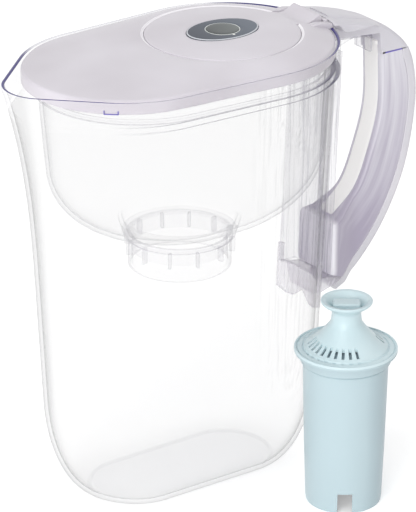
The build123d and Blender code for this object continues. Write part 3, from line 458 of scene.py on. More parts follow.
def shaped_block(name, x0, x1, y0, y1, z0, z1, bevel=0.0):
    """Box between two corners, with rounded edges if bevel is given."""
    clear_selection()
    middle = Vector((x0 + x1, y0 + y1, z0 + z1)) / 2
    bpy.ops.mesh.primitive_cube_add(size=1, location=middle * MM)
    piece = bpy.context.object
    bpy.ops.object.mode_set(mode="EDIT")
    bpy.ops.mesh.select_all(action="SELECT")
    bpy.ops.transform.resize(value=((x1 - x0) * MM, (y1 - y0) * MM, (z1 - z0) * MM))
    bpy.ops.object.mode_set(mode="OBJECT")
    finish_mesh(piece, name)
    if bevel:
        round_edges(piece, bevel)
    return piece


def turned(piece, angle, centre=(0.0, 0.0), move=(0.0, 0.0)):
    """Turns a piece's mesh about an upright axis, then moves it in plan."""
    select_only(piece)
    bpy.ops.object.mode_set(mode="EDIT")
    mesh = bmesh.from_edit_mesh(piece.data)
    c, s = cos(radians(angle)), sin(radians(angle))
    cx, cy = centre[0] * MM, centre[1] * MM
    for v in mesh.verts:
        x, y = v.co.x - cx, v.co.y - cy
        v.co.x, v.co.y = cx + x * c - y * s + move[0] * MM, cy + x * s + y * c + move[1] * MM
    bmesh.update_edit_mesh(piece.data)
    bpy.ops.object.mode_set(mode="OBJECT")
    return piece


def copied(piece, name):
    """Copy of a piece with its own mesh."""
    twin = piece.copy()
    twin.data = piece.data.copy()
    twin.name = name
    twin.data.name = name
    bpy.context.collection.objects.link(twin)
    return twin


def dress(piece, body, slot_name, node, *materials):
    """Gives a piece its materials and its body, and hides the CAD node that it stands for."""
    for material in materials:
        piece.data.materials.append(material)
    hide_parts(node)
    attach(piece, body)


# Materials

def hex_colour(text):
    """Linear colour from #rrggbb."""
    parts = [int(text[i:i + 2], 16) / 255 for i in (1, 3, 5)]
    linear = [c / 12.92 if c <= 0.04045 else ((c + 0.055) / 1.055) ** 2.4 for c in parts]
    return (*linear, 1.0)


def new_material(name):
    mat = bpy.data.materials.new(name)
    mat.use_nodes = True
    mat.node_tree.nodes.clear()
    return mat, mat.node_tree


def add(tree, kind, **inputs):
    """Node with values on its inputs, whose names have underscores for spaces."""
    node = tree.nodes.new(kind)
    for key, value in inputs.items():
        node.inputs[key.replace("_", " ")].default_value = value
    return node


def show(tree, surface):
    out = tree.nodes.new("ShaderNodeOutputMaterial")
    tree.links.new(surface, out.inputs["Surface"])


def calc(tree, operation, *values, clamp=False):
    """Math node over sockets and numbers."""
    node = tree.nodes.new("ShaderNodeMath")
    node.operation = operation
    node.use_clamp = clamp
    for socket, value in zip(node.inputs, values):
        if isinstance(value, (int, float)):
            socket.default_value = value
        else:
            tree.links.new(value, socket)
    return node.outputs[0]


def object_noise(tree, scale, stretch=(1, 1, 1), detail=2.0):
    """Noise over the piece's own coordinates."""
    coords = tree.nodes.new("ShaderNodeTexCoord")
    mapping = add(tree, "ShaderNodeMapping", Scale=stretch)
    noise = add(tree, "ShaderNodeTexNoise", Scale=scale, Detail=detail)
    tree.links.new(coords.outputs["Object"], mapping.inputs["Vector"])
    tree.links.new(mapping.outputs["Vector"], noise.inputs["Vector"])
    return noise.outputs["Fac"]


def ramp(tree, source, low, low_colour, high, high_colour):
    """Colour between two places of a socket's values."""
    node = tree.nodes.new("ShaderNodeValToRGB")
    for element, place, colour in zip(node.color_ramp.elements, (low, high), (low_colour, high_colour)):
        element.position = place
        element.color = colour
    tree.links.new(source, node.inputs["Fac"])
    return node.outputs["Color"]


def colour_mix(tree, share, first, second):
    """From the first colour to the second one, each of them a socket or a plain colour."""
    node = tree.nodes.new("ShaderNodeMix")
    node.data_type = "RGBA"
    tree.links.new(share, node.inputs[0])
    for socket, colour in ((node.inputs[6], first), (node.inputs[7], second)):
        if isinstance(colour, tuple):
            socket.default_value = colour
        else:
            tree.links.new(colour, socket)
    return node.outputs[2]


def place_on(tree, axis):
    """A surface point's place along one of the piece's own axes, in metres."""
    coords = tree.nodes.new("ShaderNodeTexCoord")
    split = tree.nodes.new("ShaderNodeSeparateXYZ")
    tree.links.new(coords.outputs["Object"], split.inputs["Vector"])
    return split.outputs[axis]


def share_between(tree, source, low, high):
    """0 to 1 between two values of a socket, which are given in millimetres."""
    spread = add(tree, "ShaderNodeMapRange", From_Min=low * MM, From_Max=high * MM)
    tree.links.new(source, spread.inputs["Value"])
    return spread.outputs["Result"]


def axis_share(tree, axis, low, high):
    return share_between(tree, place_on(tree, axis), low, high)


def end_share(tree, axis, middle, start, end):
    """0 within start of the middle along one axis, 1 beyond end."""
    away = calc(tree, "ABSOLUTE", calc(tree, "SUBTRACT", place_on(tree, axis), middle * MM))
    return share_between(tree, away, start, end)


def fine_grain(tree, shader, grain, strength):
    depth = 0.0003
    bumped = add(tree, "ShaderNodeBump", Strength=strength, Distance=depth)
    tree.links.new(object_noise(tree, grain), bumped.inputs["Height"])
    tree.links.new(bumped.outputs["Normal"], shader.inputs["Normal"])


def moulded(name, low_colour, high_colour, rough=0.38, grain=900.0, bump=0.03, along=None,
            patches=18.0, subsurface=0.0, metallic=0.0):
    """Moulded plastic: slow colour variation, fine grain, and a gradient if along is given as
    (axis, low, high)."""
    mat, tree = new_material(name)
    shader = add(tree, "ShaderNodeBsdfPrincipled", Roughness=rough, Metallic=metallic,
                 Subsurface_Weight=subsurface, Subsurface_Radius=(0.004, 0.004, 0.004))
    source, margin = object_noise(tree, patches), 0.3
    if along:
        variation = 0.28
        gradient = calc(tree, "SUBTRACT", axis_share(tree, *along), variation / 2)
        source, margin = calc(tree, "MULTIPLY_ADD", source, variation, gradient), 0.1
    colour = ramp(tree, source, margin, hex_colour(low_colour), 1 - margin, hex_colour(high_colour))
    tree.links.new(colour, shader.inputs["Base Color"])
    fine_grain(tree, shader, grain, bump)
    show(tree, shader.outputs["BSDF"])
    return mat


def clear(name, face, edge, tint, through="#fdfdfd", rough=0.07, power=4.0, deep=None, streak=None,
          rise=None):
    """Clear plastic: a transparent layer under a tinted, glossy one that thickens to the edges.

    deep is (colour, extra, middle, start, end): beyond start from the middle along X the tint
    turns to that colour and grows denser. streak is (strength, stretch, start, end): upright
    marks, from one place along X to another. rise is (start, end): the layer thickens from
    nothing between two places along X."""
    mat, tree = new_material(name)
    glass = add(tree, "ShaderNodeBsdfTransparent", Color=hex_colour(through))
    skin = add(tree, "ShaderNodeBsdfPrincipled", Roughness=rough)
    darker, lighter = [(*(min(1.0, c * k) for c in hex_colour(tint)[:3]), 1.0) for k in (0.92, 1.06)]
    shade = ramp(tree, object_noise(tree, 30.0, (1, 1, 0.3), detail=1.0), 0.3, darker, 0.7, lighter)
    weight = add(tree, "ShaderNodeLayerWeight", Blend=0.5)
    late = calc(tree, "POWER", weight.outputs["Facing"], power)
    factor = calc(tree, "MULTIPLY_ADD", late, edge - face, face)
    if deep:
        colour, extra, middle, start, end = deep
        share = end_share(tree, "X", middle, start, end)
        shade = colour_mix(tree, share, shade, hex_colour(colour))
        factor = calc(tree, "MULTIPLY_ADD", share, extra, factor, clamp=True)
    # Painted refraction: faint upright dark streaks that stand in for the surroundings seen bent through
    # the clear plastic.
    if streak:
        strength, stretch, start, end = streak
        marks = ramp(tree, object_noise(tree, 1.0, stretch), 0.54, (0, 0, 0, 1), 0.60, (1, 1, 1, 1))
        amount = calc(tree, "MULTIPLY", marks, axis_share(tree, "X", start, end))
        factor = calc(tree, "MULTIPLY_ADD", amount, strength, factor, clamp=True)
    if rise:
        factor = calc(tree, "MULTIPLY", factor, axis_share(tree, "X", *rise))
    tree.links.new(shade, skin.inputs["Base Color"])
    mix = tree.nodes.new("ShaderNodeMixShader")
    tree.links.new(factor, mix.inputs["Fac"])
    tree.links.new(glass.outputs["BSDF"], mix.inputs[1])
    tree.links.new(skin.outputs["BSDF"], mix.inputs[2])
    show(tree, mix.outputs["Shader"])
    return mat


def streaked(name, low_colour, high_colour, along, pale):
    """Moulded plastic with long streaks that follow a skin's length, and a gradient of painted shade along
    (axis, low, high), darker at low. pale is (colour, start, end): before start along X it has that colour,
    painted light."""
    mat, tree = new_material(name)
    shader = add(tree, "ShaderNodeBsdfPrincipled", Roughness=0.3)
    place = tree.nodes.new("ShaderNodeCombineXYZ")
    for socket, attribute, scale in ((0, "around", 26.0), (1, "along", 1.5)):
        node = tree.nodes.new("ShaderNodeAttribute")
        node.attribute_name = attribute
        tree.links.new(calc(tree, "MULTIPLY", node.outputs["Fac"], scale), place.inputs[socket])
    noise = add(tree, "ShaderNodeTexNoise", Scale=1.0, Detail=3.0, Roughness=0.55)
    tree.links.new(place.outputs[0], noise.inputs["Vector"])
    # Painted shade: darker towards the low end of along.
    gradient = calc(tree, "MULTIPLY_ADD", axis_share(tree, *along), 0.5, -0.25)
    source = calc(tree, "MULTIPLY_ADD", noise.outputs["Fac"], 0.9, gradient)
    shade = ramp(tree, source, 0.25, hex_colour(low_colour), 0.75, hex_colour(high_colour))
    # Painted light: the pale colour before start along X.
    light, start, end = pale
    shade = colour_mix(tree, axis_share(tree, "X", start, end), hex_colour(light), shade)
    tree.links.new(shade, shader.inputs["Base Color"])
    fine_grain(tree, shader, 900.0, 0.03)
    show(tree, shader.outputs["BSDF"])
    return mat


VIOLET = "#2b2074"
# Stretch of the painted refraction streaks on the clear materials below.
UPRIGHT = (420.0, 420.0, 2.0)
EDGE_VIOLET = moulded("violet_edge", "#5a4fb0", "#7a70c0", rough=0.3)
CLEAR_WALL = clear("clear_wall", 0.010, 1.0, "#2e2f36", power=8.0,
                   streak=(0.06, UPRIGHT, 76.0, 90.0))
CLEAR_RIM = clear("clear_rim", 0.18, 0.8, "#8f8ca2", power=1.5, deep=(VIOLET, 0.85, -3.0, 62.0, 82.0))
CLEAR_BAND = clear("clear_band", 0.008, 0.6, "#9a98a6", power=8.0)
CLEAR_FLOOR = clear("clear_floor", 0.065, 0.065, "#96969e")
CLEAR_LEDGE = clear("clear_ledge", 0.09, 0.6, "#77748a", power=3.0, rise=(-80.0, -62.0),
                    deep=("#2f2668", 0.45, -40.0, 84.0, 112.0))
CLEAR_PAD = clear("clear_pad", 0.08, 0.8, "#b5b0c2", power=3.5, streak=(0.2, UPRIGHT, 80.0, 90.0))
FOOT_CLEAR = clear("foot_plastic", 0.22, 0.85, "#f1edf5", power=2.0, rough=0.2,
                   streak=(0.15, UPRIGHT, 60.0, 70.0))
RES_WALL = clear("reservoir_wall", 0.010, 0.8, "#8e8e97", through="#fefefe", power=9.0,
                 streak=(0.16, UPRIGHT, 80.0, 95.0))
RES_RIM = clear("reservoir_rim", 0.07, 0.45, "#b9b6c2", through="#fefefe", power=2.5)
LID = moulded("lid_plastic", "#ccc7ce", "#d8d4db", rough=0.32, subsurface=0.1)
# Lighter lid colour for the groove round the door: a painted highlight.
LID_GROOVE_HIGHLIGHT = moulded("lid_groove_painted_highlight", "#f1eef3", "#faf8fb", rough=0.3)
# Lavender panels: darker towards the bottom, painted shade from light falling from above. Near white at the
# foot by the pad, painted light over the shade it stands in.
LAVENDER_PAINTED_LIGHT_AND_SHADE = streaked("lavender_plastic", "#aba3b6", "#dddbe2", along=("Z", 110, 240),
                    pale=("#f7f4fa", 102.5, 107.0))
FROSTED = moulded("frosted_plastic", "#cfcdd4", "#dbd8de", rough=0.42, subsurface=0.1)
LINER = moulded("pale_liner", "#fbf9f6", "#fefdfb", rough=0.5, subsurface=0.1)
PLATE_BLUE = moulded("indicator_blue_grey", "#343c4a", "#59626f", rough=0.42, bump=0.01,
                     along=("X", 8, 54))
# Pale colour for the indicator plate's rounded rim: a painted highlight.
PLATE_RIM_HIGHLIGHT = moulded("indicator_rim_painted_highlight", "#b9bdc4", "#d0d3d8", rough=0.35)
RING_PALE = moulded("ring_pale", "#d5dad8", "#e6e9e8", rough=0.3)
BUTTON_GREY = moulded("button_grey", "#404546", "#636968", rough=0.4, along=("X", 20, 42))
CASE = moulded("case_plastic", "#d9d8dc", "#e4e3e7")
BOARD = moulded("board_green", "#1d5a36", "#2a6f45", rough=0.5)
SWITCH = moulded("switch_black", "#1b1b1d", "#26262a", rough=0.4)
LIGHT = moulded("light_plastic", "#e8e9e2", "#f4f4ee", rough=0.2)
STEEL = moulded("cell_steel", "#b5b8ba", "#cfd1d3", rough=0.3, metallic=1.0)
# Cartridge cup: its own pale cyan, darkened towards +X by the gradient along X. This is painted shade on
# the side away from the lamps.
CARTRIDGE_SHADED = moulded("cartridge_plastic", "#93a7b0", "#b7cad0", rough=0.34, subsurface=0.15,
                    along=("X", 92, 52))
# Cartridge cap: the cup's plastic made lighter. This is painted light against the shade in the bell and
# round the knob.
CART_CAP_LIGHTENED = moulded("cartridge_cap_plastic_lightened", "#c3d7dc", "#d0e1e5", rough=0.34, subsurface=0.15)
# Darker cyan for the sheet inside the cap behind its slots: painted shade.
CART_SLOT_SHADE = moulded("cartridge_slot_shade", "#8ea3ad", "#9db0b9", rough=0.5)
MESH = moulded("screen_mesh", "#d8dadb", "#e6e8e9", rough=0.6, grain=2500, bump=0.4)
GRANULES = moulded("filter_granules", "#2a2826", "#b9aa8c", rough=0.6, patches=1620.0, bump=0.5)


def gathered(parts):
    """The rings of a list of (slot, rings), and a slot for each of them."""
    return [ring for _, rings in parts for ring in rings], [slot for slot, rings in parts for _ in rings]


# Jug

def heel_rings(floor_z, inset, draw):
    """Rings up the curve from the floor to the wall."""
    turns = [pi / 2 * i / HEEL_STEPS for i in range(HEEL_STEPS + 1)]
    return [jug_ring(floor_z + (HEEL_H - floor_z) * (1 - cos(t)), inset, draw * (1 - sin(t)))
            for t in turns]


def lip_parts():
    """The rim's round lip, whose top has the violet line."""
    lip, steps = WALL_T / 2, 6
    parts = []
    for i in range(steps + 1):
        t = pi * i / steps
        inset = lip * (1 - cos(t))
        ring = jug_ring(RIM_Z - lip, inset, 0, BAND_R - inset, RIM_Z - lip + lip * sin(t))
        parts.append((RIM if 1 < i < steps - 1 else BAND, [ring]))
    return parts


def make_jug():
    wall_r, inner_r = end_radius(BAND_Z), end_radius(LEDGE_Z) - WALL_T
    outside = [(WALL, [jug_ring(0, 0, HEEL_DRAW + 4), *heel_rings(0.0, 0.0, HEEL_DRAW)]),
               (WALL, [jug_ring(z) for z in (*WALL_LEVELS, 245, 251)]),
               (LEDGE, [jug_ring(BAND_Z - 1.2), jug_ring(BAND_Z - 0.3, end_r=wall_r + 0.5),
                        jug_ring(BAND_Z, end_r=wall_r + 1.4),
                        jug_ring(BAND_Z + 0.1, end_r=BAND_R - 0.8)]),
               (BAND, [jug_ring(z, end_r=BAND_R) for z in (BAND_Z + 0.9, 257, 261, 265, 269)])]
    ledge = ((257.2, BAND_IN_R), (LEDGE_Z + 0.2, BAND_IN_R - 0.3), (LEDGE_Z, BAND_IN_R - 1.2),
             (LEDGE_Z, inner_r + 0.7))
    inside = [(BAND, [jug_ring(z, WALL_T, 0, BAND_IN_R) for z in (267, 262)]),
              (LEDGE, [jug_ring(z, WALL_T, 0, r) for z, r in ledge]),
              (WALL, [jug_ring(LEDGE_Z - 0.6, WALL_T, 0, inner_r)]),
              (WALL, [jug_ring(z, WALL_T) for z in (250, 243, *WALL_LEVELS[::-1])]),
              (WALL, heel_rings(FLOOR_T, WALL_T, HEEL_DRAW - WALL_T)[::-1])]
    rings, slots = gathered(outside + lip_parts() + inside)
    jug = draw_rings("jug_shell", rings, slots=slots)
    dress(jug, "pitcher", "clear_plastic", "jug", CLEAR_WALL, CLEAR_BAND, CLEAR_RIM, CLEAR_LEDGE,
          CLEAR_FLOOR)
    for face in jug.data.polygons:
        if face.center.z < (FLOOR_T + 0.1) * MM and abs(face.normal.z) > 0.99:
            face.material_index = FLOOR


def pad_ring(z):
    """U-shaped section of the back pad: two rails and a face plate."""
    face, half, rail, thick, r = pad_face_x(z), PAD_W / 2, 3.0, 2.5, 1.4
    wall = end_radius(z) - 1.0
    deep = END_X + sqrt(wall * wall - half * half)
    deep_in = END_X + sqrt(wall * wall - (half - rail) ** 2)
    outer = [(deep, half), (face - r, half), *arc_points((face - r, half - r), r, 90, 0, 4),
             (face, half * 0.5), (face, 0.0)]
    inner = [(face - thick, 0.0), (face - thick, half * 0.5), (face - thick, half - rail - r),
             *arc_points((face - thick - r, half - rail - r), r, 0, 90, 4), (deep_in, half - rail)]
    return raised(in_fours(mirrored(outer[::-1] + inner[::-1])), z)


def make_pad():
    top, steps = BAND_Z + 1.25, 12
    levels = [PAD_BOTTOM_Z + (top - PAD_BOTTOM_Z) * i / steps for i in range(steps + 1)]
    pad = draw_rings("jug_back_pad", [pad_ring(z) for z in levels])
    dress(pad, "pitcher", "clear_plastic", "jug", CLEAR_PAD)


def under_arm(x, drop=0.0):
    return x, arm_underside(x) - drop


def make_lug():
    """The lug under the arm: shelf, end plate, gusset, and the block that joins it to the rim."""
    face = pad_face_x(BAND_Z)
    root, end, in_band = face - 2.5, face + LUG_REACH, RIM_OUT_X - 1.25
    lip = arm_underside(end)
    shelf = plate("jug_arm_shelf", [under_arm(root), under_arm(end), under_arm(end, LUG_T),
                                    under_arm(root, LUG_T)], LUG_HALF, 0.5)
    foot = plate("jug_arm_end_plate", [(end - LUG_T, lip - 1), (end, lip - 1), (end, lip - LUG_DROP),
                                       (end - LUG_T, lip - LUG_DROP)], LUG_HALF, 0.5)
    gusset = plate("jug_arm_gusset", [under_arm(root, 1), (end - 1, lip - 1),
                                      under_arm(root, LUG_ROOT_DROP)], 1.0, 0.3)
    block = plate("jug_arm_root", [under_arm(in_band), under_arm(face), (face, BAND_Z),
                                   (in_band, BAND_Z)], LUG_HALF, 0.5)
    for piece in (shelf, foot, gusset, block):
        dress(piece, "pitcher", "clear_plastic", "jug", CLEAR_PAD)


# Handle

def spline_point(points, t):
    """Smooth curve through the points: t runs from 0 to the number of spans."""
    i = min(int(t), len(points) - 2)
    f = t - i
    p1, p2 = Vector(points[i]), Vector(points[i + 1])
    p0 = Vector(points[i - 1]) if i else p1 * 2 - p2
    p3 = Vector(points[i + 2]) if i + 2 < len(points) else p2 * 2 - p1
    # Centripetal tangents keep the curve even where the spans differ in length
    d1, d2, d3 = sqrt((p1 - p0).length), sqrt((p2 - p1).length), sqrt((p3 - p2).length)
    m1 = (p2 - p1) + ((p1 - p0) / d1 - (p2 - p0) / (d1 + d2)) * d2
    m2 = (p2 - p1) + ((p3 - p2) / d3 - (p3 - p1) / (d2 + d3)) * d2
    return (p1 * (2 * f ** 3 - 3 * f ** 2 + 1) + m1 * (f ** 3 - 2 * f ** 2 + f)
            + p2 * (3 * f ** 2 - 2 * f ** 3) + m2 * (f ** 3 - f ** 2))


def curve(points, per_span):
    spans = len(points) - 1
    return [spline_point(points, i / per_span) for i in range(spans * per_span + 1)]


def inward(line, i, distance):
    """Point at a distance to the right of a line of points, seen along it."""
    a, b = line[max(i - 1, 0)], line[min(i + 1, len(line) - 1)]
    along = (b - a).normalized()
    return line[i] + Vector((along.y, -along.x)) * distance


def sample(line, share):
    """Point at a share of a line's length."""
    spans = [(b - a).length for a, b in zip(line, line[1:])]
    place = share * sum(spans)
    for a, b, span in zip(line, line[1:], spans):
        if place <= span:
            return a.lerp(b, place / span if span else 0.0)
        place -= span
    return line[-1].copy()


def height_at(line, x):
    """Height of a side view line at a distance."""
    for a, b in zip(line, line[1:]):
        if a.x <= x <= b.x:
            return a.y + (b.y - a.y) * (x - a.x) / (b.x - a.x)
    return line[0].y


def limited(share):
    return min(1.0, max(0.0, share))


def smooth_share(x, start, end):
    """0 to 1 between two places, with level ends."""
    share = limited((x - start) / (end - start))
    return share * share * (3 - 2 * share)


def half_width(x, z):
    """Half of the handle's width, which flares out to the pad at the foot."""
    half, extra = HANDLE_W / 2, (PAD_W - HANDLE_W) / 2
    flare = limited((GRIP_FAR_X - x) / (GRIP_FAR_X - pad_face_x(FLARE_END_Z)))
    rise = limited((z - FLARE_LOW_Z) / FLARE_RISE)
    if z > FLARE_END_Z:
        rise = limited((FLARE_TOP_Z - z) / (FLARE_TOP_Z - FLARE_END_Z))
    return half + extra * min(flare, rise)


def section(outer, inner, r_out, r_in, width=None):
    """Rounded section of the handle between its outer and inner points in the side view."""
    depth = (outer - inner).length
    along = (outer - inner) / depth
    r_out, r_in = min(r_out, depth * 0.45), min(r_in, depth * 0.45)
    steps = 5
    turns = [pi / 2 * i / steps for i in range(steps + 1)]
    spots = [(depth - r_out * (1 - cos(t)), r_out * (1 - sin(t))) for t in turns]
    spots += [(depth - r_out - (depth - r_out - r_in) * i / (steps + 1), 0.0)
              for i in range(1, steps + 1)]
    spots += [(r_in * (1 - sin(t)), r_in * (1 - cos(t))) for t in turns]
    side = []
    for height, inside in spots:
        place = inner + along * height
        side.append((place.x, (width or half_width(place.x, place.y)) - inside, place.y))
    first, last = side[0], side[-1]
    across = [(first[0], first[1] * k, first[2]) for k in (-0.66, -0.33, 0.0, 0.33, 0.66)]
    back = [(last[0], last[1] * k, last[2]) for k in (0.66, 0.33, 0.0, -0.33, -0.66)]
    return across + side + back + [(x, -y, z) for x, y, z in reversed(side)]


def drawn_together(ring, distance):
    """Ring whose points lie nearer to its middle by a distance."""
    middle = [sum(p[k] for p in ring) / len(ring) for k in range(3)]
    points = []
    for p in ring:
        away = max(hypot(*(a - b for a, b in zip(p, middle))), 0.1)
        share = min(0.9, distance / away)
        points.append(tuple(c + (m - c) * share for c, m in zip(p, middle)))
    return points


def sectioned(name, pairs, r_out, r_in, width=None, caps=0.6):
    """Skin through the sections of a list of (outer, inner) points, with eased ends."""
    rings = [section(Vector(o), Vector(i), r_out, r_in, width) for o, i in pairs]
    ends = []
    for end, next_to in ((rings[0], rings[1]), (rings[-1], rings[-2])):
        ends.append(drawn_together(end, caps))
        step = (Vector(next_to[0]) - Vector(end[0])).normalized() * caps * 0.5
        end[:] = [tuple(Vector(p) + step) for p in end]
    return draw_rings(name, [ends[0]] + rings + [ends[1]], angle=40)


def make_cover(back, front):
    """The arm, and the frosted band down the back of the handle."""
    root = RIM_OUT_X + 0.3
    corner = Vector((ARM_CORNER_X, arm_underside(ARM_CORNER_X)))
    switch = sum(1 for p in back if p.y >= PANEL_TOP_Z)
    upper = back[:switch]
    under = [Vector((root, arm_underside(root))), corner, Vector(GRIP_FRONT[0])]
    spans = [(b - a).length for a, b in zip(upper, upper[1:])]
    pairs = [(Vector((max(root, p.x), p.y)), sample(under, sum(spans[:i]) / sum(spans)))
             for i, p in enumerate(upper)]
    step = back[switch]
    pairs.append((step, Vector((front[1].x + 0.1, PANEL_TOP_Z + 0.2))))
    pairs.append((step, Vector((inward(back, switch, COVER_T).x, PANEL_TOP_Z + 0.1))))
    pairs += [(back[i], inward(back, i, COVER_T)) for i in range(switch + 1, len(back))]
    cover = sectioned("handle_cover", pairs, 3.6, 0.7)
    for piece in (cover, make_tongue(back)):
        dress(piece, "pitcher", "frosted_plastic", "handle_cover", FROSTED)


def tongue_half(x):
    """Half of the tongue's width: it narrows to the arm with a round end."""
    share = limited((x - ARM_WIDE_X) / (ARM_NARROW_X - ARM_WIDE_X))
    narrow = HANDLE_W / 2 + 0.1
    return narrow + (ARM_HALF - narrow) * sqrt(1 - share * share)


def tongue_ring(x, top, ease):
    """Section of the tongue across the handle, with a dished top. Towards the rim its underside
    rises over it."""
    half = tongue_half(x) - ease
    rise = (RIM_Z + 0.2 - TONGUE_LOW_Z) * smooth_share(x, RIM_OUT_X + 7.0, RIM_OUT_X + 0.4)
    low = min(TONGUE_LOW_Z + rise, top - 2.4) + ease
    dish = 0.9 * smooth_share(x, RIM_IN_X, 106.0) * smooth_share(x, 134.0, 122.0)
    steps = 8
    side = []
    for j in range(steps + 1):
        out = (j / steps) ** 0.8
        drop = dish * (1 - out ** 6) + 1.6 * out ** 2 + (1.2 if j == steps else 0.0)
        side.append((x, half * out, max(top - ease - drop, low + 0.6)))
    side += [(x, half, low + 0.5), (x, half - 0.5, low), (x, half * 0.6, low), (x, half * 0.3, low)]
    return in_fours(side + [(x, 0.0, low)] + [(x, -y, z) for x, y, z in reversed(side[1:])])


def make_tongue(back):
    """Wide top of the arm over the rim, with a shallow trough for the thumb."""
    steps, ease = 30, 0.5
    rings = []
    for i in range(steps + 1):
        x = RIM_IN_X + (ARM_NARROW_X - RIM_IN_X) * i / steps
        rings.append(tongue_ring(x, height_at(back, x), ease if i in (0, steps) else 0.0))
    return draw_rings("handle_tongue", rings, angle=32)


def paired(outer, inner, steps):
    """Points at even shares of two lines, as pairs."""
    return [(sample(outer, i / steps), sample(inner, i / steps)) for i in range(steps + 1)]


def make_frame(back, front):
    """Side panels between the cover's band and the grip, with a violet line on their top, then
    the foot below the pad."""
    switch = sum(1 for p in back if p.y >= PANEL_TOP_Z)
    outer = [inward(back, i, COVER_T + 0.15) for i in range(switch, len(back))]
    face = [Vector((pad_face_x(z) + 0.05, z)) for z in (142.5, 136, 128, 120, 112, 109.7)]
    wall = [Vector((pad_face_x(z) - PAD_PROUD + 0.4, z)) for z in (109.6, 105, 101, 97)]
    pairs = paired([p for p in outer if p.y > 103], front + face, 44)
    pairs[0] = tuple(Vector((p.x, PANEL_TOP_Z - 0.1)) for p in pairs[0])
    panels = sectioned("handle_frame", pairs, 0.5, 3.2)
    edge = [tuple(Vector((p.x, z)) for p in pairs[0]) for z in (PANEL_TOP_Z, PANEL_TOP_Z - 0.9)]
    line = sectioned("handle_frame_edge", edge, 0.5, 3.2, width=HANDLE_W / 2 + 0.08, caps=0.1)
    tail = [p for p in outer if p.y <= 106] + [Vector((97.0, SADDLE_NOTCH_Z))]
    foot = sectioned("handle_foot", paired(tail, wall, 12), 0.8, 0.5)
    for piece, material in ((line, EDGE_VIOLET), (panels, LAVENDER_PAINTED_LIGHT_AND_SHADE), (foot, FOOT_CLEAR)):
        dress(piece, "pitcher", "lavender_plastic", "handle_frame", material)


def make_liner(front):
    """Pale strip down the inside of the grip, between the rims of the side panels."""
    line = [Vector(p) for p in LINER_TOP] + front
    pairs = [(inward(line, i, -3.0), inward(line, i, 0.25)) for i in range(len(line))]
    liner = sectioned("handle_liner", pairs, 0.4, 1.4, width=LINER_HALF)
    dress(liner, "pitcher", "pale_liner", "handle_liner", LINER)


def make_handle():
    back, front = curve(BACK_CURVE, 10), curve(GRIP_FRONT, 12)
    make_cover(back, front)
    make_frame(back, front)
    make_liner(front)


def saddle_low(y):
    """Height of the saddle's notched lower edge."""
    for (y0, z0), (y1, z1) in zip(SADDLE_EDGE, SADDLE_EDGE[1:]):
        if abs(y) <= y1:
            return z0 + (z1 - z0) * (abs(y) - y0) / (y1 - y0)
    return SADDLE_EDGE[-1][1]


def make_saddle():
    """Curved plate round the jug's wall at the foot, with a hole for the pad."""
    clear_selection()
    bpy.ops.mesh.primitive_grid_add(x_subdivisions=48, y_subdivisions=16, size=2)
    piece = bpy.context.object
    bpy.ops.object.mode_set(mode="EDIT")
    mesh = bmesh.from_edit_mesh(piece.data)
    for v in mesh.verts:
        y = v.co.x * SADDLE_HALF
        low = saddle_low(y)
        z = low + (SADDLE_TOP_Z - low) * (v.co.y + 1) / 2
        r = end_radius(z) + 0.3
        v.co = Vector((END_X + sqrt(r * r - y * y), y, z)) * MM
    bmesh.update_edit_mesh(piece.data)
    bpy.ops.object.mode_set(mode="OBJECT")
    finish_mesh(piece, "handle_saddle")
    use_modifier(piece, "SOLIDIFY", thickness=SADDLE_T * MM, offset=1.0)
    half = PAD_W / 2 + 0.3
    cut(piece, shaped_block("pad_hole", END_X, END_X + 90, -half, half, PAD_BOTTOM_Z - 0.3, 200))
    round_edges(piece, 0.4, 2)
    dress(piece, "pitcher", "lavender_plastic", "handle_frame", FOOT_CLEAR)


# Reservoir

def res_outline(z, inset=0.0):
    right_r = end_radius(z) - WALL_T - RES_GAP - inset
    left_x = RES_LEFT_X + RES_LEAN * (LEDGE_Z - z)
    left_r = right_r - (END_X - left_x) * sin(radians(side_taper(z))) - RES_SIDE_GAP
    return right_r, left_x, left_r


def res_ring(z, inset=0.0):
    right_r, left_x, left_r = res_outline(z, inset)
    return raised(two_round(END_X, right_r, left_x, left_r), z)


def bowl_ring(z, floor_z, inset):
    fall = (BOWL_TOP_Z - z) / (BOWL_TOP_Z - floor_z)
    share = sqrt(max(0.0, 1 - fall * fall))
    right_r, left_x, left_r = res_outline(BOWL_TOP_Z, inset)
    mouth, x = BOWL_MOUTH_R - inset, BOWL_MOUTH_X
    return raised(two_round(x + (END_X - x) * share, mouth + (right_r - mouth) * share,
                            -x + (left_x + x) * share, mouth + (left_r - mouth) * share), z)


def bowl_rings(floor_z, inset):
    """Rings up the bowl's curve, from the cup's mouth to the upright wall."""
    depth = BOWL_TOP_Z - floor_z
    return [bowl_ring(BOWL_TOP_Z - depth * cos(pi / 2 * i / BOWL_STEPS), floor_z, inset)
            for i in range(BOWL_STEPS + 1)]


def flange(radius, z):
    lean = (END_X - RES_LEFT_X) * sin(radians(side_taper(COLLAR_Z))) + RES_SIDE_GAP
    return raised(two_round(END_X, radius, RES_LEFT_X, radius - lean), z)


def cup_ring(radius, z):
    return raised(two_round(0.0, radius, 0.0, radius), z)


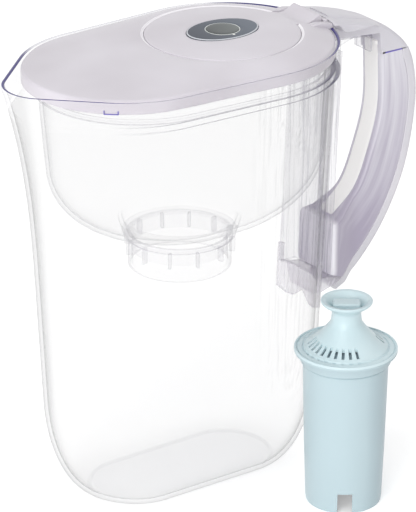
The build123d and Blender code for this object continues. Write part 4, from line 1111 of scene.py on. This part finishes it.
def make_reservoir():
    edge = BAND_IN_R - 0.5
    rim = ((LINE, end_radius(LEDGE_Z) - WALL_T + 0.2, 256.05), (LINE, edge - 0.5, 256.05),
           (LINE, edge, 256.5), (LINE, edge, 257.5), (LINE, edge - 0.4, 258.0),
           (LINE, COLLAR_R + 0.05, 258.05), (PLAIN, COLLAR_R, 258.6), (LINE, COLLAR_R, 263.3),
           (LINE, COLLAR_R - 0.4, 263.9), (LINE, COLLAR_R - 1.6, 263.9), (PLAIN, COLLAR_R - 2.0, 263.3),
           (LINE, COLLAR_R - 2.0, 258.6), (LINE, res_outline(258.0, RES_T)[0] + 0.4, 258.0))
    parts = [(LINE if 155 < z < 158 or z < 138.3 else PLAIN, [cup_ring(r, z)]) for r, z in CUP_OUTSIDE]
    parts += [(PLAIN, bowl_rings(168.0, 0.0)),
              (PLAIN, [res_ring(z) for z in (216, 226, 236, 246, 254.6)]),
              (LINE, [res_ring(255.7)])]
    parts += [(slot, [flange(r, z)]) for slot, r, z in rim]
    parts += [(PLAIN, [res_ring(z, RES_T) for z in (255.5, 246, 236, 226, 216)]),
              (PLAIN, bowl_rings(170.0, RES_T)[::-1])]
    parts += [(LINE if 158 < z < 159.5 else PLAIN, [cup_ring(r, z)]) for r, z in CUP_INSIDE]
    rings, slots = gathered(parts)
    reservoir = draw_rings("reservoir_bowl", rings, joined=True, slots=slots)
    half = CHEEK_HALF + 0.8
    cut(reservoir, shaped_block("collar_notch", END_X + 50, RIM_OUT_X, -half, half, 258.2, 266))
    dress(reservoir, "reservoir", "clear_plastic", "reservoir", RES_WALL, RES_RIM)
    rib = turned(shaped_block("cup_rib_1", 30.0, 33.6, -0.8, 0.8, 147.5, 156.9, 0.3), 180 / RIBS)
    ribs = [rib] + [copied(rib, "cup_rib_%d" % (i + 1)) for i in range(1, RIBS)]
    for i, piece in enumerate(ribs):
        turned(piece, 360 / RIBS * i)
        dress(piece, "reservoir", "clear_plastic", "reservoir", RES_RIM)


# Lid

def lid_ring(inset, z):
    return raised(spout_outline(END_X, LID_R - inset, LID_TAPER, LID_VEE, LID_TIP_X + inset,
                                LID_TIP_R - inset, LID_CORNER_R - inset), z)


def round_door(like, radius, z):
    """Circle round the door whose points face those of another ring."""
    return [(DOOR_X + radius * cos(t), radius * sin(t), z)
            for t in (atan2(y, x - DOOR_X) for x, y, _ in like)]


def make_lid():
    parts = [(PLAIN, [lid_ring(0.4, LID_LOW_Z), lid_ring(0.0, LID_LOW_Z + 0.4), lid_ring(0.0, 267.5),
                      lid_ring(0.0, LID_SKIRT_Z)])]
    corner = quarter_round((0.0, LID_SKIRT_Z), (LID_ROUND, LID_SHOULDER_Z), 5)
    parts.append((PLAIN, [lid_ring(inset, z) for inset, z in corner]))
    start = lid_ring(LID_ROUND, LID_SHOULDER_Z)
    seat = round_door(start, 48.1, DOOR_EDGE_Z)
    swell, steps = DOOR_EDGE_Z - LID_SHOULDER_Z, 8
    for i in range(1, steps + 1):
        t = i / steps
        z = LID_SHOULDER_Z + swell * (1 - (1 - t) ** 1.5)
        ring = [(x, y, z) for x, y, _ in mixed(start, seat, t)]
        parts.append((LINE if i == steps else PLAIN, [ring]))
    # The groove and the band at its outer edge take the lighter lid colour, a painted highlight along the
    # groove.
    groove = ((47.8, 276.95), (47.5, 276.7), (47.3, 276.4))
    ledge = ((46.55, 276.35), (46.5, DOOR_SEAT_Z), (43.7, DOOR_SEAT_Z), (43.5, 275.0), (43.5, 273.8),
             (43.7, 273.6), (46.3, 273.5))
    parts.append((LINE, [round_door(seat, r, z) for r, z in groove]))
    parts.append((PLAIN, [round_door(seat, r, z) for r, z in ledge]))
    hoop, inner = round_door(seat, 46.8, 273.4), lid_ring(LID_ROUND, LID_SKIRT_Z + 0.1)
    parts.append((PLAIN, [mixed(hoop, inner, t) for t in (0.35, 0.7, 0.95)]))
    parts.append((PLAIN, [lid_ring(1.8, 270.0), lid_ring(1.8, LID_LOW_Z + 0.4), lid_ring(1.4, LID_LOW_Z)]))
    rings, slots = gathered(parts)
    lid = draw_rings("lid_shell", rings, joined=True, slots=slots)
    cut(lid, shaped_block("tab_slot", SLOT_X + 0.1, LID_BACK_X - 1.8, -SLOT_HALF, SLOT_HALF, 269.5, 285))
    dress(lid, "lid", "lid_plastic", "lid", LID, LID_GROOVE_HIGHLIGHT)


def make_tab_pocket():
    """The pocket that the door's tab lies in, its stop, and the prongs beside it."""
    back, half, wide = LID_BACK_X - 1.0, SLOT_HALF, CHEEK_HALF
    pieces = [shaped_block("lid_pocket_floor", SLOT_X, back - 1.4, -wide, wide, 258.3, 260.0, 0.3),
              shaped_block("lid_pocket_front", SLOT_X, SLOT_X + 2, -half, half, 259.8, 269.5, 0.3),
              shaped_block("lid_tab_stop", 95.0, LID_BACK_X - 0.1, -half - 1, half + 1, 269.0, 275.9, 0.8)]
    prong = [(81.0, 273.0), (83.5, 276.3), (88.0, 276.5), (97.0, 274.8), (97.7, 274.2), (97.7, 271.0)]
    for side, word in ((-1, "near"), (1, "far")):
        y0, y1 = sorted((side * half, side * wide))
        pieces.append(shaped_block("lid_pocket_cheek_" + word, SLOT_X, back - 1.6, y0, y1, 259.9, 273.6,
                                   0.3))
        pieces.append(plate("lid_prong_" + word, prong, 2.5, 0.7, y=side * PRONG_Y))
    for piece in pieces:
        dress(piece, "lid", "lid_plastic", "lid", LID)


def make_latch(side, word):
    """Small U-shaped catch on the lid's skirt, of three bars."""
    ring = [p for p in lid_ring(-0.1, CATCH_Z) if p[1] * side > 0]
    middle = min(ring, key=lambda p: abs(p[0] - CATCH_X))
    beside = min(ring, key=lambda p: abs(p[0] - CATCH_X - 3.0))
    turn = degrees(atan2(beside[1] - middle[1], beside[0] - middle[0]))
    half, height, bar = 4.0, 2.4, 0.5
    bars = ((-half, bar / 2, height), (half, bar / 2, height), (0.0, half + 0.2, bar))
    for k, (along, reach, tall) in enumerate(bars):
        piece = shaped_block("lid_catch_%s_%d" % (word, k + 1), along - reach, along + reach,
                             -bar, bar, CATCH_Z, CATCH_Z + tall, 0.2)
        turned(piece, turn, move=middle)
        dress(piece, "lid", "lid_plastic", "lid", EDGE_VIOLET)


# Fill door

def dome(distance):
    return DOOR_TOP_Z - (DOOR_TOP_Z - DOOR_EDGE_Z) * (distance / DOOR_R) ** 2


def domed(outline, drop=0.0):
    return [(x, y, dome(hypot(x, y)) - drop) for x, y in outline]


def make_door():
    top_r, a, b, steps = DOOR_R - 1.0, PLATE_A + 0.3, PLATE_B + 0.3, 10
    rings = discs([(DOOR_R - 0.4, 275.25), (DOOR_R, 275.6), (DOOR_R, 276.2),
                   *quarter_round((DOOR_R, 276.2), (top_r, dome(top_r)), 4)])
    for i in range(1, steps + 1):
        t = i / steps
        rings.append(domed(oval_outline(top_r + (a + 0.5 - top_r) * t, top_r + (b + 0.5 - top_r) * t)))
    rings += [domed(oval_outline(a + 0.2, b + 0.2), 0.12), domed(oval_outline(a, b), 0.4)]
    rings += ovals(((a, b, 278.0), (21.0, 14.5, 277.95), (20.8, 14.3, 277.7), (20.8, 14.3, 276.9),
                    (21.2, 14.7, 276.8)))
    rings += discs(((42.0, 276.6), (42.3, 276.3), (42.4, 275.4), (42.8, 275.25)))
    door = draw_rings("fill_door_disc", shift(rings, DOOR_X), joined=True)
    front = DOOR_X + DOOR_R - 8.0
    points = [(front, 276.2), (front, 276.7), (72, 277.0), (76, 277.0), (78.5, 276.6), (81, 275.9),
              (84, 275.8), (88, 277.2), (91, 279.0), (92.2, 279.4), (93.2, 279.2), (93.8, 278.4),
              (93.8, 272.8), (90.5, 270.0), (83, 271.5), (75, 271.9)]
    pieces = [door, plate("fill_door_tab", points, TAB_HALF, 0.7)]
    for side, word in ((-1, "near"), (1, "far")):
        y0, y1 = sorted((side * (TAB_HALF - 1.0), side * (CHEEK_HALF - 0.1)))
        pieces.append(rod("hinge_pin_" + word, HINGE_X, HINGE_Z, PIN_R, y0, y1))
    for piece in pieces:
        dress(piece, "door", "lid_plastic", "fill_door", LID)


# Indicator

def make_indicator():
    top, bed, a, b = DOOR_TOP_Z, 278.05, PLATE_A, PLATE_B
    parts = [(PLAIN, ovals(((a - 0.4, b - 0.4, bed), (a, b, 278.3)))),
             # The rim rings take the pale colour, a painted highlight round the plate.
             (LINE, ovals(((a, b, 279.0), (a - 0.1, b - 0.1, 279.2), (a - 0.4, b - 0.4, 279.36)))),
             (PLAIN, ovals(((a - 0.7, b - 0.7, top), (18.0, 14.0, top), (13.0, 12.2, top)))),
             (PLAIN, discs(((10.75, top), (10.55, 279.3), (10.5, 278.7), (9.9, 278.7), (9.9, bed))))]
    rings, slots = gathered(parts)
    face = draw_rings("indicator_face", shift(rings, DOOR_X), joined=True, slots=slots)
    dress(face, "door", "indicator_blue_grey", "indicator_plate", PLATE_BLUE, PLATE_RIM_HIGHLIGHT)
    ring = spun("button_trim", [(9.87, 278.72), (10.48, 278.72), (10.48, 279.3), (10.35, 279.42),
                                (10.1, 279.45), (9.95, 279.35), (9.87, 279.2)], (DOOR_X, 0.0))
    dress(ring, "door", "ring_pale", "button_ring", RING_PALE)
    flange_r = BUTTON_R + 0.5
    rings = discs(((flange_r - 0.3, 276.65), (flange_r, 276.7), (flange_r, 277.6), (flange_r - 0.3, 277.75),
                   (BUTTON_R, 277.8), (BUTTON_R, 279.3), (BUTTON_R - 0.15, 279.55),
                   (BUTTON_R - 0.6, 279.66), (6.0, 279.6), (3.0, 279.54), (0.4, 279.52)))
    button = draw_rings("status_button_cap", shift(rings, DOOR_X))
    dress(button, "button", "button_grey", "status_button", BUTTON_GREY)
    rings = discs(((LIGHT_R, 277.85), (LIGHT_R, 279.2), (0.9, 279.4), (0.55, 279.5), (0.15, 279.54)), 32)
    dot = draw_rings("light_window", shift(rings, DOOR_X, LIGHT_Y))
    dress(dot, "door", "light_plastic", "light_pipe", LIGHT)


# Cartridge

def cartridge_block(name, r0, r1, half, z0, z1, turn, bevel=0.0):
    """Block between two distances from the cartridge's axis, turned about it."""
    block = shaped_block(name, CART_X + r0, CART_X + r1, CART_Y - half, CART_Y + half, z0, z1, bevel)
    return turned(block, turn, CART_AT)


def make_cartridge_cup():
    """Tapered cup with a collar under its rim and a notch in its foot."""
    inner = 22.6 - CART_T
    profile = [(22.0, 0.2), (22.6, 0.0), (23.0, 3.0), (24.2, 38.0), (25.5, 90.2), (25.0, 90.9),
               (25.0, 91.6), (26.9, 91.8), (27.1, 92.3), (27.2, 96.6), (27.6, 97.2), (30.0, 97.5),
               (30.6, 97.8), (CAP_R, 98.4), (CAP_R, 99.08), (25.2, 99.08), (25.0, 97.5), (24.9, 95.0),
               (23.0, 38.0), (inner, 1.0), (inner + 0.3, 0.2)]
    cup = spun("cartridge_cup_shell", profile, CART_AT, 128)
    cut(cup, cartridge_block("notch_tool", 0, 40, 4.4, -8, 13.0, CART_NOTCH_TURN))
    round_edges(cup, 0.3, 2, 60)
    dress(cup, "cartridge", "cartridge_plastic", "cartridge_cup", CARTRIDGE_SHADED)


def make_cartridge_cap():
    """Cap with a bell that rises to the knob, with slots and dashes round its foot."""
    lip = [(24.4, CAP_Z), (CAP_R, CAP_Z), (CAP_R, 100.0), (30.65, 100.5), (30.3, 100.7), (29.8, 100.7),
           (29.5, 100.5), (29.35, 99.9), (28.95, 99.8), (28.8, 100.2), (28.4, 100.4), (26.2, 100.5),
           (25.9, 100.2), (25.4, 100.1), (25.1, 100.4), (24.8, 101.2)]
    bell = [(24.8 - 15.4 * i / 10, 101.2 + 15.3 * (i / 10) ** 1.35) for i in range(1, 11)]
    knob = [(9.0, 119.0), (8.8, 121.4), (8.8, 123.4), (9.4, 124.6), (11.4, 126.2), (14.0, 128.0),
            (15.1, 129.0), (15.4, 129.6), (15.4, 130.2), (15.1, 130.6), (13.2, 130.6), (12.7, 130.3),
            (11.0, 127.5), (8.0, 124.0), (7.2, 123.5), (0.05, 123.5)]
    inside = [(0.05, 122.1), (7.0, 122.0), (7.2, 119.0), (8.2, 114.5), (13.0, 107.5), (23.4, 100.0)]
    cap = spun("cartridge_cap_shell", lip + bell + knob + inside, CART_AT, 144)
    for side in (0, 180):
        for i in range(CAP_SLOTS):
            turn = side + (i - (CAP_SLOTS - 1) / 2) * CAP_SLOT_STEP + CAP_SLOT_TURN
            cut(cap, cartridge_block("slot_tool", 17.6, 22.8, 0.9, 100.4, 112.0, turn))
            if i > 1:
                cut(cap, cartridge_block("dash_tool", 25.0, 25.9, 1.1, 99.3, 101.5, turn))
    grip = cartridge_block("cap_grip_block", -8.2, 8.2, 4.6, 123.4, 129.5, GRIP_TURN, 1.2)
    for piece in (cap, grip):
        dress(piece, "cartridge", "cartridge_plastic", "cartridge_cap", CART_CAP_LIGHTENED)
    # A darker sheet just inside the cap, seen through the slots: painted shade in place of the cap's dim
    # inside.
    slot_shade_sheet = draw_rings("cap_slot_shade_sheet", shift(discs(((23.0, 99.3), (12.0, 106.0)), 96), CART_X, CART_Y))
    dress(slot_shade_sheet, "cartridge", "cartridge_plastic", "cartridge_cap", CART_SLOT_SHADE)


def colour_inner_parts():
    """Materials for the CAD nodes that are shown as they are."""
    for node, material in (("indicator_case", CASE), ("case_cover", CASE), ("circuit_board", BOARD),
                           ("tact_switch", SWITCH), ("indicator_light", LIGHT), ("coin_cell", STEEL),
                           ("battery_contact", STEEL), ("inlet_screen", MESH),
                           ("outlet_screen", MESH), ("filter_media", GRANULES)):
        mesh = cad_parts[node].data
        mesh.materials.clear()
        mesh.materials.append(material)


make_jug()
make_pad()
make_lug()
make_handle()
make_saddle()
make_reservoir()
make_lid()
make_tab_pocket()
make_latch(-1, "near")
make_latch(1, "far")
make_door()
make_indicator()
make_cartridge_cup()
make_cartridge_cap()
colour_inner_parts()


# Camera, floor and light, in metres

EYE = (-1.00166, -1.45891, 0.92398)
AIM = (0.01439, -0.00892, 0.14123)
LENS = 227.39
SENSOR = 36.0
LIT = (0, 0, 0.14)


def look(thing, place, at):
    """Puts a camera or lamp at a place and turns it towards another."""
    bpy.context.collection.objects.link(thing)
    thing.location = place
    thing.rotation_euler = (Vector(at) - Vector(place)).to_track_quat("-Z", "Y").to_euler()


def make_camera():
    data = bpy.data.cameras.new("camera")
    data.lens = LENS
    data.sensor_width = SENSOR
    data.clip_start = 0.05
    data.clip_end = 60.0
    camera = bpy.data.objects.new("camera", data)
    look(camera, EYE, AIM)
    bpy.context.scene.camera = camera


def area_light(name, place, power, size):
    data = bpy.data.lights.new(name, "AREA")
    data.energy = power
    data.size = size
    look(bpy.data.objects.new(name, data), place, LIT)


def plain_view(tree):
    """1 where the camera sees a surface straight, in a reflection or through something clear."""
    path = tree.nodes.new("ShaderNodeLightPath")
    seen = calc(tree, "MAXIMUM", path.outputs["Is Camera Ray"], path.outputs["Is Glossy Ray"])
    return calc(tree, "MAXIMUM", seen, path.outputs["Is Transmission Ray"])


def make_floor():
    clear_selection()
    bpy.ops.mesh.primitive_plane_add(size=30, location=(0, 0, 0))
    floor = bpy.context.object
    floor.name = "floor"
    mat, tree = new_material("floor_white")
    cloth = add(tree, "ShaderNodeBsdfDiffuse", Color=(0.9, 0.9, 0.9, 1.0))
    glow = add(tree, "ShaderNodeEmission", Color=(1, 1, 1, 1))
    tree.links.new(calc(tree, "MULTIPLY", plain_view(tree), 0.33), glow.inputs["Strength"])
    both = tree.nodes.new("ShaderNodeAddShader")
    tree.links.new(cloth.outputs["BSDF"], both.inputs[0])
    tree.links.new(glow.outputs["Emission"], both.inputs[1])
    show(tree, both.outputs["Shader"])
    floor.data.materials.append(mat)


def make_world():
    """Soft light all round, behind which the camera sees plain white."""
    world = bpy.data.worlds.new("white_studio")
    bpy.context.scene.world = world
    world.use_nodes = True
    tree = world.node_tree
    tree.nodes.clear()
    out = tree.nodes.new("ShaderNodeOutputWorld")
    soft = add(tree, "ShaderNodeBackground", Color=(1, 1, 1, 1), Strength=0.74)
    white = add(tree, "ShaderNodeBackground", Color=(1, 1, 1, 1), Strength=1.0)
    mix = tree.nodes.new("ShaderNodeMixShader")
    tree.links.new(plain_view(tree), mix.inputs["Fac"])
    tree.links.new(soft.outputs["Background"], mix.inputs[1])
    tree.links.new(white.outputs["Background"], mix.inputs[2])
    tree.links.new(mix.outputs["Shader"], out.inputs["Surface"])


make_camera()
make_floor()
make_world()
area_light("key", (-1.3, -0.8, 1.8), 6.0, 1.0)
area_light("front", (-1.5, -1.1, 0.6), 18.0, 1.2)
area_light("top", (0.3, 0.2, 1.8), 2.0, 1.4)
bpy.context.scene.cycles.transparent_max_bounces = 40
bpy.context.scene.view_settings.view_transform = "Standard"
